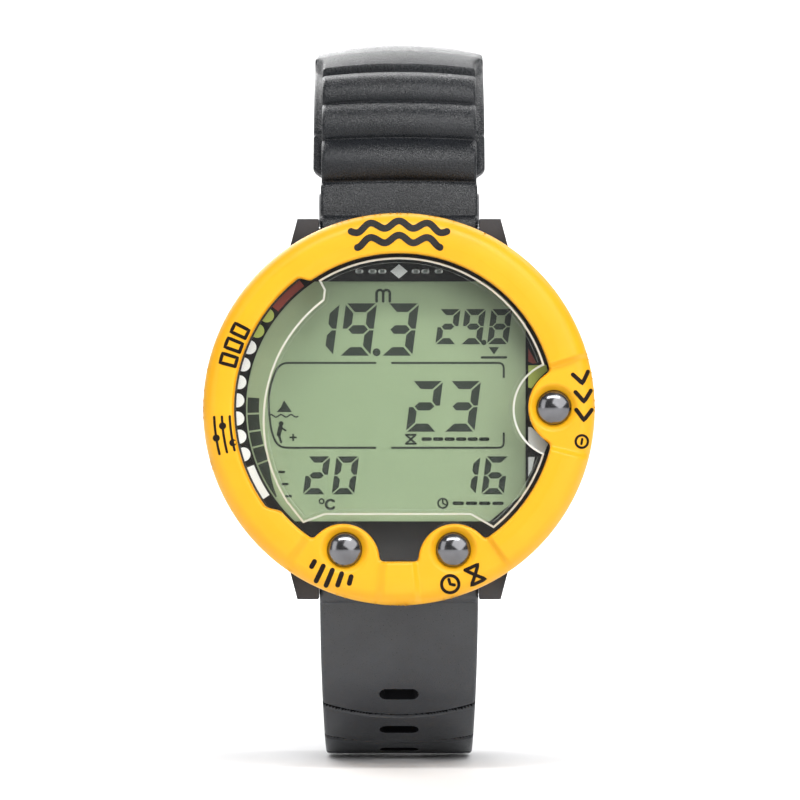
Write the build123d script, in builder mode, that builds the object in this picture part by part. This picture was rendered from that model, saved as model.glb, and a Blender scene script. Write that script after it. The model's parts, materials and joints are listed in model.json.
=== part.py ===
from build123d import *
import math
import os

# Wrist dive computer. The dial faces -Y, twelve o'clock is +Z and three o'clock is +X.
# The origin is the middle of the wrist opening. A "height" is a distance from the
# origin towards the wearer's eye, so a plane at height h lies at y = -h.

# ---- driving dimensions, mm -------------------------------------------------------
BEZEL_RADIUS = 34.0
BEZEL_FRONT = 50.0
BEZEL_SKIRT = 38.0
BEZEL_BORE = 31.5
OPENING_RADIUS = 27.0
SCALE_WINDOW_RADIUS = 28.6
SCALE_WINDOW_FROM, SCALE_WINDOW_TO = 127.0, 218.0
OPENING_FLOOR = -26.4
PLATEAU_HEIGHT = 48.9

CASE_BACK = 24.0
CASE_TOP = 46.0
CASE_RADIUS = 31.4
CAVITY_RADIUS = 27.2
CAVITY_FLOOR = 27.0
LEDGE_HEIGHT = 42.8
LEDGE_RADIUS = 28.9

PLATE_THICKNESS = 0.4
CRYSTAL_BACK = 43.5
LCD_THICKNESS = 1.8
BACKLIGHT_THICKNESS = 0.8
BOARD_BACK = 34.8
BOARD_THICKNESS = 1.0

BUTTON_PLACES = {"plan": (-9.4, -24.3), "time": (9.4, -24.3), "mode": (26.8, 0.3)}
BUTTON_RADIUS = 2.93
BUTTON_BORE = 3.0
CAP_BACK = 46.5
STEM_RADIUS = 1.6
RUNNING_GAP = 0.05
TURRET_RADIUS = 4.2
TURRET_BACK = 39.0
SPRING_SEAT = 43.2

WELL_RADIUS = 12.6
WELL_WALL = 1.7
BATTERY_RADIUS = 12.25
BATTERY_BACK, BATTERY_FRONT = 28.0, 33.0

PIN_Y, PIN_Z = -31.0, 31.6
PIN_RADIUS = 0.9
LUG_BACK, LUG_FRONT = 26.5, 37.5
LUG_GAP = 14.1
BARREL_RADIUS = 2.8
POCKET_DEPTH = 28.5

STRAP_THICKNESS = 3.2
STRAP_START = 8.0
REAR_Y = 30.0
UPPER_HALF_WIDTH = 13.9
UPPER_REAR_HALF_WIDTH = 14.0
UPPER_FLANGE_HALF_WIDTH = 15.4
FLANGE_START = 21.5
UPPER_BARREL_HALF_WIDTH = 13.3
UPPER_BEND = 39.2
LOWER_HALF_WIDTH = 13.3
LOWER_ROOT_HALF_WIDTH = 13.95
LOWER_TAPER_Z = -60.0
LOWER_BEND = 34.5
LOWER_TIP_Z = 15.5
STRAP_FRONT_REACH = 40.0
RIB_COUNT, RIB_PITCH_ANGLE, FIRST_GROOVE_ANGLE = 3, 12.0, 20.5
SLOT_LENGTH, SLOT_WIDTH, SLOT_PITCH, FIRST_SLOT = 7.0, 2.6, 10.0, 20.2
SLOT_COUNT = 11

BUCKLE_PIN_Z = 38.0
BUCKLE_FOOT_Z = 20.5
BUCKLE_HALF_WIDTH = 15.0
BUCKLE_INNER = 13.5
BUCKLE_THICKNESS = 3.0


def level(height):
    """The plane facing the wearer at a height above the origin."""
    return Plane.XZ.offset(height)


def polar(radius, angle):
    """A point of the dial, by radius and by angle from three o'clock."""
    turn = math.radians(angle)
    return (radius * math.cos(turn), radius * math.sin(turn))


os.makedirs("parts", exist_ok=True)


def save(piece, name):
    """Labels a finished piece and writes its STEP file."""
    piece.part.label = name
    export_step(piece.part, "parts/" + name + ".step")


# ---- case body: cup with battery well, button turrets and strap lugs --------------
WELL_CEILING = BOARD_BACK
screw_places = [polar(22.6, angle) for angle in (138.0, 195.0, 322.0)]
SENSOR_PLACE = polar(22.7, 162.0)
BUZZER_PLACE = polar(20.6, 62.0)
CONTACT_PLACES = [polar(23.0, angle) for angle in (244.0, 254.0, 264.0)]
BOSS_RADIUS = 2.0
RELIEF_RADIUS = 2.8
SCREW_SHANK = 0.75
LOCK_RADIUS = 16.0
LOCK_TAB_RADIUS = 17.0
LOCK_RING_THICKNESS = 2.2
LOCK_CLEARANCE = 0.15
COVER_RADIUS = 15.3
COVER_STEP_RADIUS = 13.2
LOCK_BORE_RADIUS = 13.5
O_RING_RADIUS = 13.6
O_RING_WIRE = 0.5
COVER_SEAT_RADIUS = 15.5
COVER_SEAT_DEPTH = 4.3
FLOOR_PAD = 1.6
WELL_CEILING_THICKNESS = 0.8
BACK_CHAMFER = 2.4
LUG_CORNERS = ((20.5, 23.5), (19.0, 28.8), (17.8, 33.3))
CONTACT_RADIUS = 1.1
PORT_RADIUS = 2.6
GRILLE_RADIUS = 3.6
PIN_HALF_LENGTH = 16.8

with BuildPart() as case_body:
    with BuildSketch(level(CASE_BACK)):
        Circle(CASE_RADIUS)
    extrude(amount=CASE_TOP - CASE_BACK)
    back_edges = case_body.edges().filter_by(GeomType.CIRCLE).sort_by(Axis.Y)[-1:]
    chamfer(back_edges, BACK_CHAMFER)
    for end in (1, -1):
        with BuildSketch(level(LUG_BACK)):
            with BuildLine():
                left = [(-x, end * z) for x, z in LUG_CORNERS]
                right = [(x, end * z) for x, z in reversed(LUG_CORNERS)]
                Polyline(*left, *right, close=True)
            make_face()
        extrude(amount=LUG_FRONT - LUG_BACK)
    with BuildSketch(level(CASE_BACK - 1.0)):
        with Locations((0, POCKET_DEPTH + 5), (0, -POCKET_DEPTH - 5)):
            Rectangle(2 * LUG_GAP, 10)
    extrude(amount=LUG_FRONT - CASE_BACK + 1.0, mode=Mode.SUBTRACT)
    with BuildSketch(level(CAVITY_FLOOR)):
        Circle(CAVITY_RADIUS)
    extrude(amount=CASE_TOP - CAVITY_FLOOR, mode=Mode.SUBTRACT)
    with BuildSketch(level(LEDGE_HEIGHT)):
        Circle(LEDGE_RADIUS)
    extrude(amount=CASE_TOP - LEDGE_HEIGHT, mode=Mode.SUBTRACT)
    # battery well, screw bosses and the seat of the pressure sensor
    with BuildSketch(level(CAVITY_FLOOR)):
        Circle(LOCK_TAB_RADIUS + FLOOR_PAD)
    extrude(amount=FLOOR_PAD)
    with BuildSketch(level(CAVITY_FLOOR)):
        Circle(WELL_RADIUS + WELL_WALL)
        with Locations(*screw_places):
            Circle(BOSS_RADIUS)
    extrude(amount=WELL_CEILING - CAVITY_FLOOR)
    with BuildSketch(level(CASE_BACK)):
        Circle(WELL_RADIUS)
    extrude(amount=WELL_CEILING - WELL_CEILING_THICKNESS - CASE_BACK, mode=Mode.SUBTRACT)
    with BuildSketch(level(CASE_BACK)):
        Circle(COVER_SEAT_RADIUS)
    extrude(amount=COVER_SEAT_DEPTH, mode=Mode.SUBTRACT)
    with BuildSketch(level(CASE_BACK)):
        Circle(LOCK_RADIUS + LOCK_CLEARANCE)
    extrude(amount=2.25, mode=Mode.SUBTRACT)
    # bayonet groove with three entry notches
    with BuildSketch(level(CASE_BACK + 1.2)):
        Circle(LOCK_TAB_RADIUS + LOCK_CLEARANCE)
    extrude(amount=1.05, mode=Mode.SUBTRACT)
    with BuildSketch(level(CASE_BACK)):
        for turn in (60.0, 180.0, 300.0):
            with Locations(polar(LOCK_RADIUS + 0.2, turn)):
                Circle(2.6)
        Circle(LOCK_TAB_RADIUS + LOCK_CLEARANCE, mode=Mode.INTERSECT)
    extrude(amount=1.3, mode=Mode.SUBTRACT)
    # slot for the battery contacts in the well's ceiling
    with BuildSketch(level(WELL_CEILING - 1.0)):
        Rectangle(5.0, 2.0)
        with Locations((0, 10.8)):
            Rectangle(5.0, 2.0)
    extrude(amount=1.2, mode=Mode.SUBTRACT)
    # button turrets, fused to the wall
    for place in BUTTON_PLACES.values():
        with BuildSketch(level(TURRET_BACK)):
            with Locations(place):
                Circle(TURRET_RADIUS)
            Circle(CASE_RADIUS, mode=Mode.INTERSECT)
        extrude(amount=CASE_TOP - TURRET_BACK)
    with BuildSketch(level(TURRET_BACK - 0.1)):
        with Locations(*BUTTON_PLACES.values()):
            Circle(STEM_RADIUS + RUNNING_GAP)
    extrude(amount=CASE_TOP - TURRET_BACK + 0.2, mode=Mode.SUBTRACT)
    with BuildSketch(level(BOARD_BACK)):
        with Locations(*BUTTON_PLACES.values()):
            Circle(RELIEF_RADIUS)
    extrude(amount=TURRET_BACK - BOARD_BACK, mode=Mode.SUBTRACT)
    with BuildSketch(level(SPRING_SEAT)):
        with Locations(*BUTTON_PLACES.values()):
            Circle(BUTTON_BORE)
    extrude(amount=CASE_TOP - SPRING_SEAT + 0.1, mode=Mode.SUBTRACT)
    # screw pilots, pressure port, contact holes and strap pin holes
    with BuildSketch(level(WELL_CEILING - 5.5)):
        with Locations(*screw_places):
            Circle(SCREW_SHANK)
    extrude(amount=5.6, mode=Mode.SUBTRACT)
    with BuildSketch(level(CASE_BACK - 0.1)):
        with Locations(SENSOR_PLACE):
            Circle(PORT_RADIUS)
        with Locations(*CONTACT_PLACES):
            Circle(CONTACT_RADIUS)
    extrude(amount=CAVITY_FLOOR - CASE_BACK + 0.2, mode=Mode.SUBTRACT)
    with BuildSketch(level(CASE_BACK - 0.1)):
        with Locations(SENSOR_PLACE):
            Circle(GRILLE_RADIUS)
    extrude(amount=1.1, mode=Mode.SUBTRACT)
    with BuildSketch(Plane.YZ.offset(-17.0)):
        with Locations((PIN_Y, PIN_Z), (PIN_Y, -PIN_Z)):
            Circle(PIN_RADIUS)
    extrude(amount=34.0, mode=Mode.SUBTRACT)
save(case_body, "case_body")

# ---- bezel ring: yellow crowned ring with its three button plateaus ----------------
BOSS_OFFSETS = ((-9.7, -26.2, 6.33), (9.7, -26.2, 6.33), (29.4, 0.3, 7.0))

with BuildSketch() as dial_opening:
    Circle(OPENING_RADIUS)
    with BuildLine():
        window_arc = CenterArc(
            (0, 0),
            SCALE_WINDOW_RADIUS,
            SCALE_WINDOW_FROM,
            SCALE_WINDOW_TO - SCALE_WINDOW_FROM,
        )
        Line(window_arc @ 1, (0, 0))
        Line((0, 0), window_arc @ 0)
    make_face()
    with Locations((0, OPENING_FLOOR - 5)):
        Rectangle(60, 10, mode=Mode.SUBTRACT)
    for x, z, radius in BOSS_OFFSETS:
        with Locations((x, z)):
            Circle(radius, mode=Mode.SUBTRACT)

with BuildPart() as bezel_ring:
    with BuildSketch(Plane.XY):
        with BuildLine():
            Polyline(
                (18.0, -PLATEAU_HEIGHT),
                (18.0, -CASE_TOP),
                (BEZEL_BORE, -CASE_TOP),
                (BEZEL_BORE, -BEZEL_SKIRT),
                (BEZEL_RADIUS - 0.5, -BEZEL_SKIRT),
                (BEZEL_RADIUS, -BEZEL_SKIRT - 0.6),
                (BEZEL_RADIUS, -45.4),
            )
            ThreePointArc((BEZEL_RADIUS, -45.4), (32.9, -48.6), (29.8, -BEZEL_FRONT))
            Polyline((29.8, -BEZEL_FRONT), (26.8, -49.7), (18.0, -PLATEAU_HEIGHT))
        make_face()
    revolve(axis=Axis.Y)
    with BuildSketch(level(CASE_TOP - 0.1)):
        add(dial_opening.sketch)
    extrude(amount=6.0, mode=Mode.SUBTRACT)
    # lowered plateaus around the buttons
    for start, stop in ((-14.7, 16.5), (-84.4, -54.5), (-125.5, -95.6)):
        with BuildSketch(level(PLATEAU_HEIGHT)):
            with BuildLine():
                rim = CenterArc((0, 0), 38.0, start, stop - start)
                inner = CenterArc((0, 0), 16.0, start, stop - start)
                Line(rim @ 0, inner @ 0)
                Line(rim @ 1, inner @ 1)
            make_face()
        extrude(amount=2.0, mode=Mode.SUBTRACT)
    with BuildSketch(level(CASE_TOP - 0.1)):
        with Locations(*BUTTON_PLACES.values()):
            Circle(BUTTON_BORE)
    extrude(amount=5.0, mode=Mode.SUBTRACT)
    with BuildSketch(level(PLATEAU_HEIGHT - 1.0)):
        with Locations(*BUTTON_PLACES.values()):
            Circle(BUTTON_BORE)
    extrude(amount=1.2, taper=-36, mode=Mode.SUBTRACT)
save(bezel_ring, "bezel_ring")

# ---- crystal, gasket, dial plate and display stack ---------------------------------
TURRET_CLEARANCE = TURRET_RADIUS + 0.15

with BuildPart() as crystal:
    with BuildSketch(level(CRYSTAL_BACK)):
        Circle(LEDGE_RADIUS - 0.1)
        with Locations(*BUTTON_PLACES.values()):
            Circle(TURRET_CLEARANCE, mode=Mode.SUBTRACT)
    extrude(amount=CASE_TOP - CRYSTAL_BACK)
save(crystal, "crystal")

with BuildPart() as crystal_gasket:
    with BuildSketch(level(LEDGE_HEIGHT + PLATE_THICKNESS)):
        Circle(LEDGE_RADIUS - 0.1)
        with Locations(*BUTTON_PLACES.values()):
            Circle(TURRET_CLEARANCE, mode=Mode.SUBTRACT)
        offset(amount=-0.5, mode=Mode.SUBTRACT)
    extrude(amount=CRYSTAL_BACK - LEDGE_HEIGHT - PLATE_THICKNESS)
save(crystal_gasket, "crystal_gasket")

LCD_RADIUS = 27.0
LCD_LEFT, LCD_RIGHT, LCD_BOTTOM, LCD_TOP = -27.0, 22.4, -19.9, 22.6


def lcd_outline(margin):
    """The panel's outline, shrunk all round by a margin, inside an open sketch."""
    Circle(LCD_RADIUS - margin)
    width = LCD_RIGHT - LCD_LEFT - margin
    height = LCD_TOP - LCD_BOTTOM - 2 * margin
    with Locations(((LCD_LEFT + LCD_RIGHT - margin) / 2, (LCD_BOTTOM + LCD_TOP) / 2)):
        Rectangle(width, height, mode=Mode.INTERSECT)


with BuildSketch() as lcd_window:
    lcd_outline(0.4)
    with BuildLine():
        Polyline((22.6, -13.8), (15.4, -19.8), (22.6, -19.8), close=True)
    make_face(mode=Mode.SUBTRACT)

with BuildPart() as dial_plate:
    with BuildSketch(level(LEDGE_HEIGHT)):
        Circle(LEDGE_RADIUS - 0.1)
        add(lcd_window.sketch, mode=Mode.SUBTRACT)
        with Locations(*BUTTON_PLACES.values()):
            Circle(TURRET_CLEARANCE, mode=Mode.SUBTRACT)
    extrude(amount=PLATE_THICKNESS)
save(dial_plate, "dial_plate")

LCD_BACK = LEDGE_HEIGHT - LCD_THICKNESS
with BuildPart() as lcd_panel:
    with BuildSketch(level(LCD_BACK)):
        lcd_outline(0.0)
    extrude(amount=LCD_THICKNESS)
save(lcd_panel, "lcd_panel")

BACKLIGHT_BACK = LCD_BACK - BACKLIGHT_THICKNESS
ZEBRA_Z = 21.2
with BuildPart() as backlight:
    with BuildSketch(level(BACKLIGHT_BACK)):
        lcd_outline(0.5)
        with Locations((0, ZEBRA_Z)):
            Rectangle(60, 3.2, mode=Mode.SUBTRACT)
    extrude(amount=BACKLIGHT_THICKNESS)
save(backlight, "backlight")

BOARD_FRONT = BOARD_BACK + BOARD_THICKNESS
with BuildPart() as zebra_connector:
    with BuildSketch(level(BOARD_FRONT)):
        with Locations((0, ZEBRA_Z)):
            Rectangle(26.0, 2.0)
    extrude(amount=LCD_BACK - BOARD_FRONT)
save(zebra_connector, "zebra_connector")

FRAME_PLATE = 38.6
frame_legs = [polar(24.6, angle) for angle in (95.0, 176.0, 222.0, 306.0, 30.0)]
with BuildPart() as module_frame:
    with BuildSketch(level(FRAME_PLATE)):
        Circle(CAVITY_RADIUS - 0.2)
        with Locations((0, ZEBRA_Z)):
            Rectangle(26.4, 2.4, mode=Mode.SUBTRACT)
        with Locations(*BUTTON_PLACES.values()):
            Circle(TURRET_CLEARANCE, mode=Mode.SUBTRACT)
    extrude(amount=BACKLIGHT_BACK - FRAME_PLATE)
    with BuildSketch(level(BOARD_FRONT)):
        with Locations(*frame_legs):
            Circle(1.4)
    extrude(amount=FRAME_PLATE - BOARD_FRONT)
save(module_frame, "module_frame")

# ---- circuit board and what stands on it --------------------------------------------
with BuildPart() as circuit_board:
    with BuildSketch(level(BOARD_BACK)):
        Circle(CAVITY_RADIUS - 0.4)
        with Locations(*BUTTON_PLACES.values()):
            Circle(RELIEF_RADIUS - 0.1)
        with Locations(*screw_places):
            Circle(SCREW_SHANK, mode=Mode.SUBTRACT)
    extrude(amount=BOARD_THICKNESS)
save(circuit_board, "circuit_board")

with BuildPart() as board_components:
    with BuildSketch(level(BOARD_FRONT)):
        with Locations((-2, 2)):
            Rectangle(10, 10)
    extrude(amount=1.2)
    with BuildSketch(level(BOARD_FRONT)):
        with Locations((9, 8), (-13, -4)):
            Rectangle(5, 4)
        with GridLocations(3.2, 2.4, 4, 3):
            with Locations((3, -11)):
                Rectangle(1.6, 0.9)
    extrude(amount=0.8)
    with BuildSketch(level(BOARD_FRONT)):
        with Locations((10, 1)):
            SlotOverall(7, 2.2)
    extrude(amount=2.0)
save(board_components, "board_components")

with BuildPart() as switch_domes:
    with BuildSketch(level(BOARD_FRONT)):
        with Locations(*BUTTON_PLACES.values()):
            Circle(1.6)
    extrude(amount=0.8)
    domes = switch_domes.faces().group_by(Axis.Y)[0].edges()
    fillet(domes, 0.4)
save(switch_domes, "switch_domes")

with BuildPart() as module_screws:
    with BuildSketch(level(BOARD_FRONT)):
        with Locations(*screw_places):
            Circle(1.5)
    extrude(amount=0.9)
    with BuildSketch(level(BOARD_FRONT + 0.5)):
        for place in screw_places:
            with Locations(place):
                Rectangle(2.2, 0.4)
                Rectangle(0.4, 2.2)
    extrude(amount=0.5, mode=Mode.SUBTRACT)
    with BuildSketch(level(BOARD_FRONT - 4.6)):
        with Locations(*screw_places):
            Circle(SCREW_SHANK)
    extrude(amount=4.6)
save(module_screws, "module_screws")

# ---- sensor, buzzer and outside contacts ---------------------------------------------
with BuildPart() as pressure_sensor:
    with BuildSketch(level(CAVITY_FLOOR + 0.6)):
        with Locations(SENSOR_PLACE):
            Circle(3.6)
    extrude(amount=4.4)
    with BuildSketch(level(CAVITY_FLOOR + 5.0)):
        with Locations(SENSOR_PLACE):
            Rectangle(4.4, 4.4)
    extrude(amount=BOARD_BACK - CAVITY_FLOOR - 5.0)
save(pressure_sensor, "pressure_sensor")

with BuildPart() as pressure_sensor_seal:
    with BuildSketch(level(CAVITY_FLOOR)):
        with Locations(SENSOR_PLACE):
            Circle(3.5)
            Circle(2.7, mode=Mode.SUBTRACT)
    extrude(amount=0.6)
save(pressure_sensor_seal, "pressure_sensor_seal")

with BuildPart() as pressure_port_grille:
    with BuildSketch(level(CASE_BACK + 0.2)):
        with Locations(SENSOR_PLACE):
            Circle(3.6)
            with PolarLocations(1.9, 6):
                Circle(0.45, mode=Mode.SUBTRACT)
            Circle(0.45, mode=Mode.SUBTRACT)
    extrude(amount=0.8)
save(pressure_port_grille, "pressure_port_grille")

with BuildPart() as buzzer:
    with BuildSketch(level(CAVITY_FLOOR + 1.6)):
        with Locations(BUZZER_PLACE):
            Circle(5.2)
    extrude(amount=2.2)
    with BuildSketch(level(CAVITY_FLOOR + 3.8)):
        with Locations(BUZZER_PLACE):
            Circle(4.2)
    extrude(amount=0.4)
save(buzzer, "buzzer")

with BuildPart() as water_contacts:
    with BuildSketch(level(CASE_BACK - 0.1)):
        with Locations(*CONTACT_PLACES):
            Circle(1.1)
    extrude(amount=5.6)
    with BuildSketch(level(CASE_BACK + 5.5)):
        with Locations(*CONTACT_PLACES):
            Circle(0.5)
    extrude(amount=BOARD_BACK - CASE_BACK - 5.5)
save(water_contacts, "water_contacts")

# ---- battery, contacts, cover and lock ring ------------------------------------------
with BuildPart() as battery:
    with BuildSketch(level(BATTERY_BACK)):
        Circle(BATTERY_RADIUS)
    extrude(amount=BATTERY_FRONT - BATTERY_BACK - 0.5)
    chamfer(battery.edges().sort_by(Axis.Y)[-1:], 0.5)
    with BuildSketch(level(BATTERY_FRONT - 0.5)):
        Circle(BATTERY_RADIUS - 1.4)
    extrude(amount=0.5)
save(battery, "battery")

with BuildPart() as battery_contact_negative:
    with BuildSketch(Plane.YZ.offset(-1.5)):
        with BuildLine():
            Polyline(
                (-BOARD_BACK, -0.6),
                (-BOARD_BACK, 0.6),
                (-BATTERY_FRONT - 0.25, 0.6),
                (-BATTERY_FRONT - 0.25, 4.6),
                (-BATTERY_FRONT, 4.6),
                (-BATTERY_FRONT, -0.6),
                close=True,
            )
        make_face()
    extrude(amount=3.0)
save(battery_contact_negative, "battery_contact_negative")

with BuildPart() as battery_contact_positive:
    with BuildSketch(Plane.YZ.offset(-1.5)):
        with BuildLine():
            Polyline(
                (-BOARD_BACK, 11.5),
                (-BOARD_BACK, 10.1),
                (-BATTERY_FRONT - 0.3, 10.1),
                (-BATTERY_FRONT - 0.3, BATTERY_RADIUS + 0.02),
                (-BATTERY_BACK - 1.0, BATTERY_RADIUS + 0.02),
                (-BATTERY_BACK - 1.0, BATTERY_RADIUS + 0.24),
                (-BATTERY_FRONT - 0.5, BATTERY_RADIUS + 0.24),
                (-BATTERY_FRONT - 0.5, 11.5),
                close=True,
            )
        make_face()
    extrude(amount=3.0)
save(battery_contact_positive, "battery_contact_positive")

with BuildPart() as battery_cover:
    with BuildSketch(level(CASE_BACK + 2.3)):
        Circle(COVER_RADIUS)
    extrude(amount=1.0)
    with BuildSketch(level(CASE_BACK + 0.6)):
        Circle(COVER_STEP_RADIUS)
    extrude(amount=1.7)
    with BuildSketch(level(CASE_BACK + 3.3)):
        Circle(WELL_RADIUS - 0.2)
    extrude(amount=0.6)
    chamfer(battery_cover.faces().sort_by(Axis.Y)[-1].edges(), 0.5)
save(battery_cover, "battery_cover")

with BuildPart() as battery_cover_o_ring:
    with BuildSketch(Plane.XY):
        with Locations((O_RING_RADIUS, -CASE_BACK - 3.8)):
            Circle(O_RING_WIRE)
    revolve(axis=Axis.Y)
save(battery_cover_o_ring, "battery_cover_o_ring")

with BuildPart() as battery_lock_ring:
    with BuildSketch(level(CASE_BACK)):
        Circle(LOCK_RADIUS)
        Circle(LOCK_BORE_RADIUS, mode=Mode.SUBTRACT)
    extrude(amount=LOCK_RING_THICKNESS)
    with BuildSketch(level(CASE_BACK + 1.3)):
        for turn in (15.0, 135.0, 255.0):
            with Locations(polar(LOCK_RADIUS, turn)):
                Circle(2.3)
        Circle(LOCK_TAB_RADIUS, mode=Mode.INTERSECT)
        Circle(14.5, mode=Mode.SUBTRACT)
    extrude(amount=0.8)
    with BuildSketch(level(CASE_BACK - 0.1)):
        with PolarLocations(14.75, 6, 30):
            SlotOverall(2.6, 1.1, rotation=90)
    extrude(amount=1.0, mode=Mode.SUBTRACT)
save(battery_lock_ring, "battery_lock_ring")

# ---- display shield: clear guard snapped into the bezel -------------------------------
SHIELD_RADIUS = 26.3
SHIELD_FRONT = 49.0
SHIELD_WALL = 0.9
SHIELD_CHAMFER = 0.35
with BuildSketch() as shield_outline:
    with BuildLine():
        upper = CenterArc((0, 0), SHIELD_RADIUS, 16.8, 105.2)
        lower = CenterArc((0, 0), SHIELD_RADIUS, -51.5, 34.7)
        Polyline(upper @ 1, (-13.0, 20.6), (-13.2, 19.0))
        ThreePointArc((-13.2, 19.0), (-23.6, -1.7), (-19.5, -16.1))
        Polyline((-19.5, -16.1), (-16.6, -19.7), (-12.8, -18.3), (12.4, -18.3), lower @ 0)
        ThreePointArc(lower @ 1, (20.0, 0.0), upper @ 0)
    make_face()

with BuildPart() as display_shield:
    with BuildSketch(level(CASE_TOP)):
        add(shield_outline.sketch)
    extrude(amount=SHIELD_FRONT - CASE_TOP)
    chamfer(display_shield.faces().sort_by(Axis.Y)[0].edges(), SHIELD_CHAMFER)
    with BuildSketch(level(CASE_TOP)):
        add(shield_outline.sketch)
        offset(amount=-SHIELD_WALL, mode=Mode.REPLACE)
    extrude(amount=SHIELD_FRONT - CASE_TOP - SHIELD_WALL, mode=Mode.SUBTRACT)
save(display_shield, "display_shield")

# ---- three push buttons: cap with stem, seal, clip and return spring ------------------
STEM_END = 37.8
CLIP_BACK, CLIP_THICKNESS = 38.3, 0.65
SEAL_HEIGHT = 41.4
SEAL_RADIUS = 0.5
GROOVE_DEPTH = 0.5
CAP_FRONT = 49.7
DOME_RADIUS = 3.95
for title, (x, z) in BUTTON_PLACES.items():
    axis_of_button = Axis((x, 0, z), (0, 1, 0))
    with BuildPart() as button:
        with BuildSketch(level(CAP_BACK)):
            with Locations((x, z)):
                Circle(BUTTON_RADIUS)
        extrude(amount=CAP_FRONT - CAP_BACK)
        with Locations((x, DOME_RADIUS - CAP_FRONT, z)):
            Sphere(DOME_RADIUS, mode=Mode.INTERSECT)
        with BuildSketch(level(STEM_END)):
            with Locations((x, z)):
                Circle(STEM_RADIUS)
        extrude(amount=CAP_BACK - STEM_END)
        with BuildSketch(level(CLIP_BACK)):
            with Locations((x, z)):
                Circle(STEM_RADIUS + 1.0)
                Circle(STEM_RADIUS - GROOVE_DEPTH, mode=Mode.SUBTRACT)
        extrude(amount=CLIP_THICKNESS, mode=Mode.SUBTRACT)
        with BuildSketch(level(SEAL_HEIGHT - SEAL_RADIUS)):
            with Locations((x, z)):
                Circle(STEM_RADIUS + 1.0)
                Circle(STEM_RADIUS - 2 * SEAL_RADIUS, mode=Mode.SUBTRACT)
        extrude(amount=2 * SEAL_RADIUS, mode=Mode.SUBTRACT)
    save(button, "button_" + title)
    with BuildPart() as seal:
        with BuildSketch(Plane.XY.offset(z)):
            with Locations((x + STEM_RADIUS - SEAL_RADIUS, -SEAL_HEIGHT)):
                Circle(SEAL_RADIUS)
        revolve(axis=axis_of_button)
    save(seal, "button_" + title + "_seal")
    with BuildPart() as clip:
        with BuildSketch(level(CLIP_BACK)):
            with Locations((x, z)):
                Circle(STEM_RADIUS + 0.8)
                Circle(STEM_RADIUS - GROOVE_DEPTH, mode=Mode.SUBTRACT)
                with Locations((0, -2.0)):
                    Rectangle(1.4, 3.0, mode=Mode.SUBTRACT)
        extrude(amount=CLIP_THICKNESS)
    save(clip, "button_" + title + "_clip")
    wire = 0.22
    with BuildPart() as spring:
        with BuildLine():
            coil = Helix(
                pitch=(CAP_BACK - SPRING_SEAT - 2 * wire) / 4,
                height=CAP_BACK - SPRING_SEAT - 2 * wire,
                radius=2.3,
                center=(x, -SPRING_SEAT - wire, z),
                direction=(0, -1, 0),
            )
        with BuildSketch(Plane(origin=coil @ 0, z_dir=coil % 0)):
            Circle(wire)
        sweep()
    save(spring, "button_" + title + "_spring")

# ---- strap: two rubber halves, each hinged on a pin between its lugs -------------------
def strap_point(bend, angle, lift, end):
    """Side-view point (y, z) on a strap's first bend. The angle is the strap's lean from
    straight up, lift is the distance outside the middle line, end is 1 above, -1 below."""
    lean, start = math.radians(angle), math.radians(STRAP_START)
    y = PIN_Y + bend * (math.cos(start) - math.cos(lean)) - lift * math.cos(lean)
    z = PIN_Z + bend * (math.sin(lean) - math.sin(start)) + lift * math.sin(lean)
    return (y, end * z)


def strap_line(bend, tip_z, end):
    """The middle line of a strap half, from its pin round to its tip at the rear."""
    start = math.radians(STRAP_START)
    first = JernArc(
        start=(PIN_Y, end * PIN_Z),
        tangent=(math.sin(start), end * math.cos(start)),
        radius=bend,
        arc_size=-end * (90 - STRAP_START),
    )
    apex = strap_point(bend, 90.0, 0.0, end)
    second = JernArc(start=apex, tangent=(1, 0), radius=REAR_Y - apex[0], arc_size=-end * 90)
    Line(second @ 1, (REAR_Y, tip_z))


with BuildPart() as strap_pin_upper:
    with BuildSketch(Plane.YZ.offset(-PIN_HALF_LENGTH)):
        with Locations((PIN_Y, PIN_Z)):
            Circle(PIN_RADIUS)
    extrude(amount=2 * PIN_HALF_LENGTH)
save(strap_pin_upper, "strap_pin_upper")

with BuildPart() as strap_pin_lower:
    with BuildSketch(Plane.YZ.offset(-PIN_HALF_LENGTH)):
        with Locations((PIN_Y, -PIN_Z)):
            Circle(PIN_RADIUS)
    extrude(amount=2 * PIN_HALF_LENGTH)
save(strap_pin_lower, "strap_pin_lower")

REAR_BEND = REAR_Y - strap_point(UPPER_BEND, 90.0, 0.0, 1)[0]
REAR_CENTRE = (REAR_Y - REAR_BEND, strap_point(UPPER_BEND, 90.0, 0.0, 1)[1] - REAR_BEND)

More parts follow.
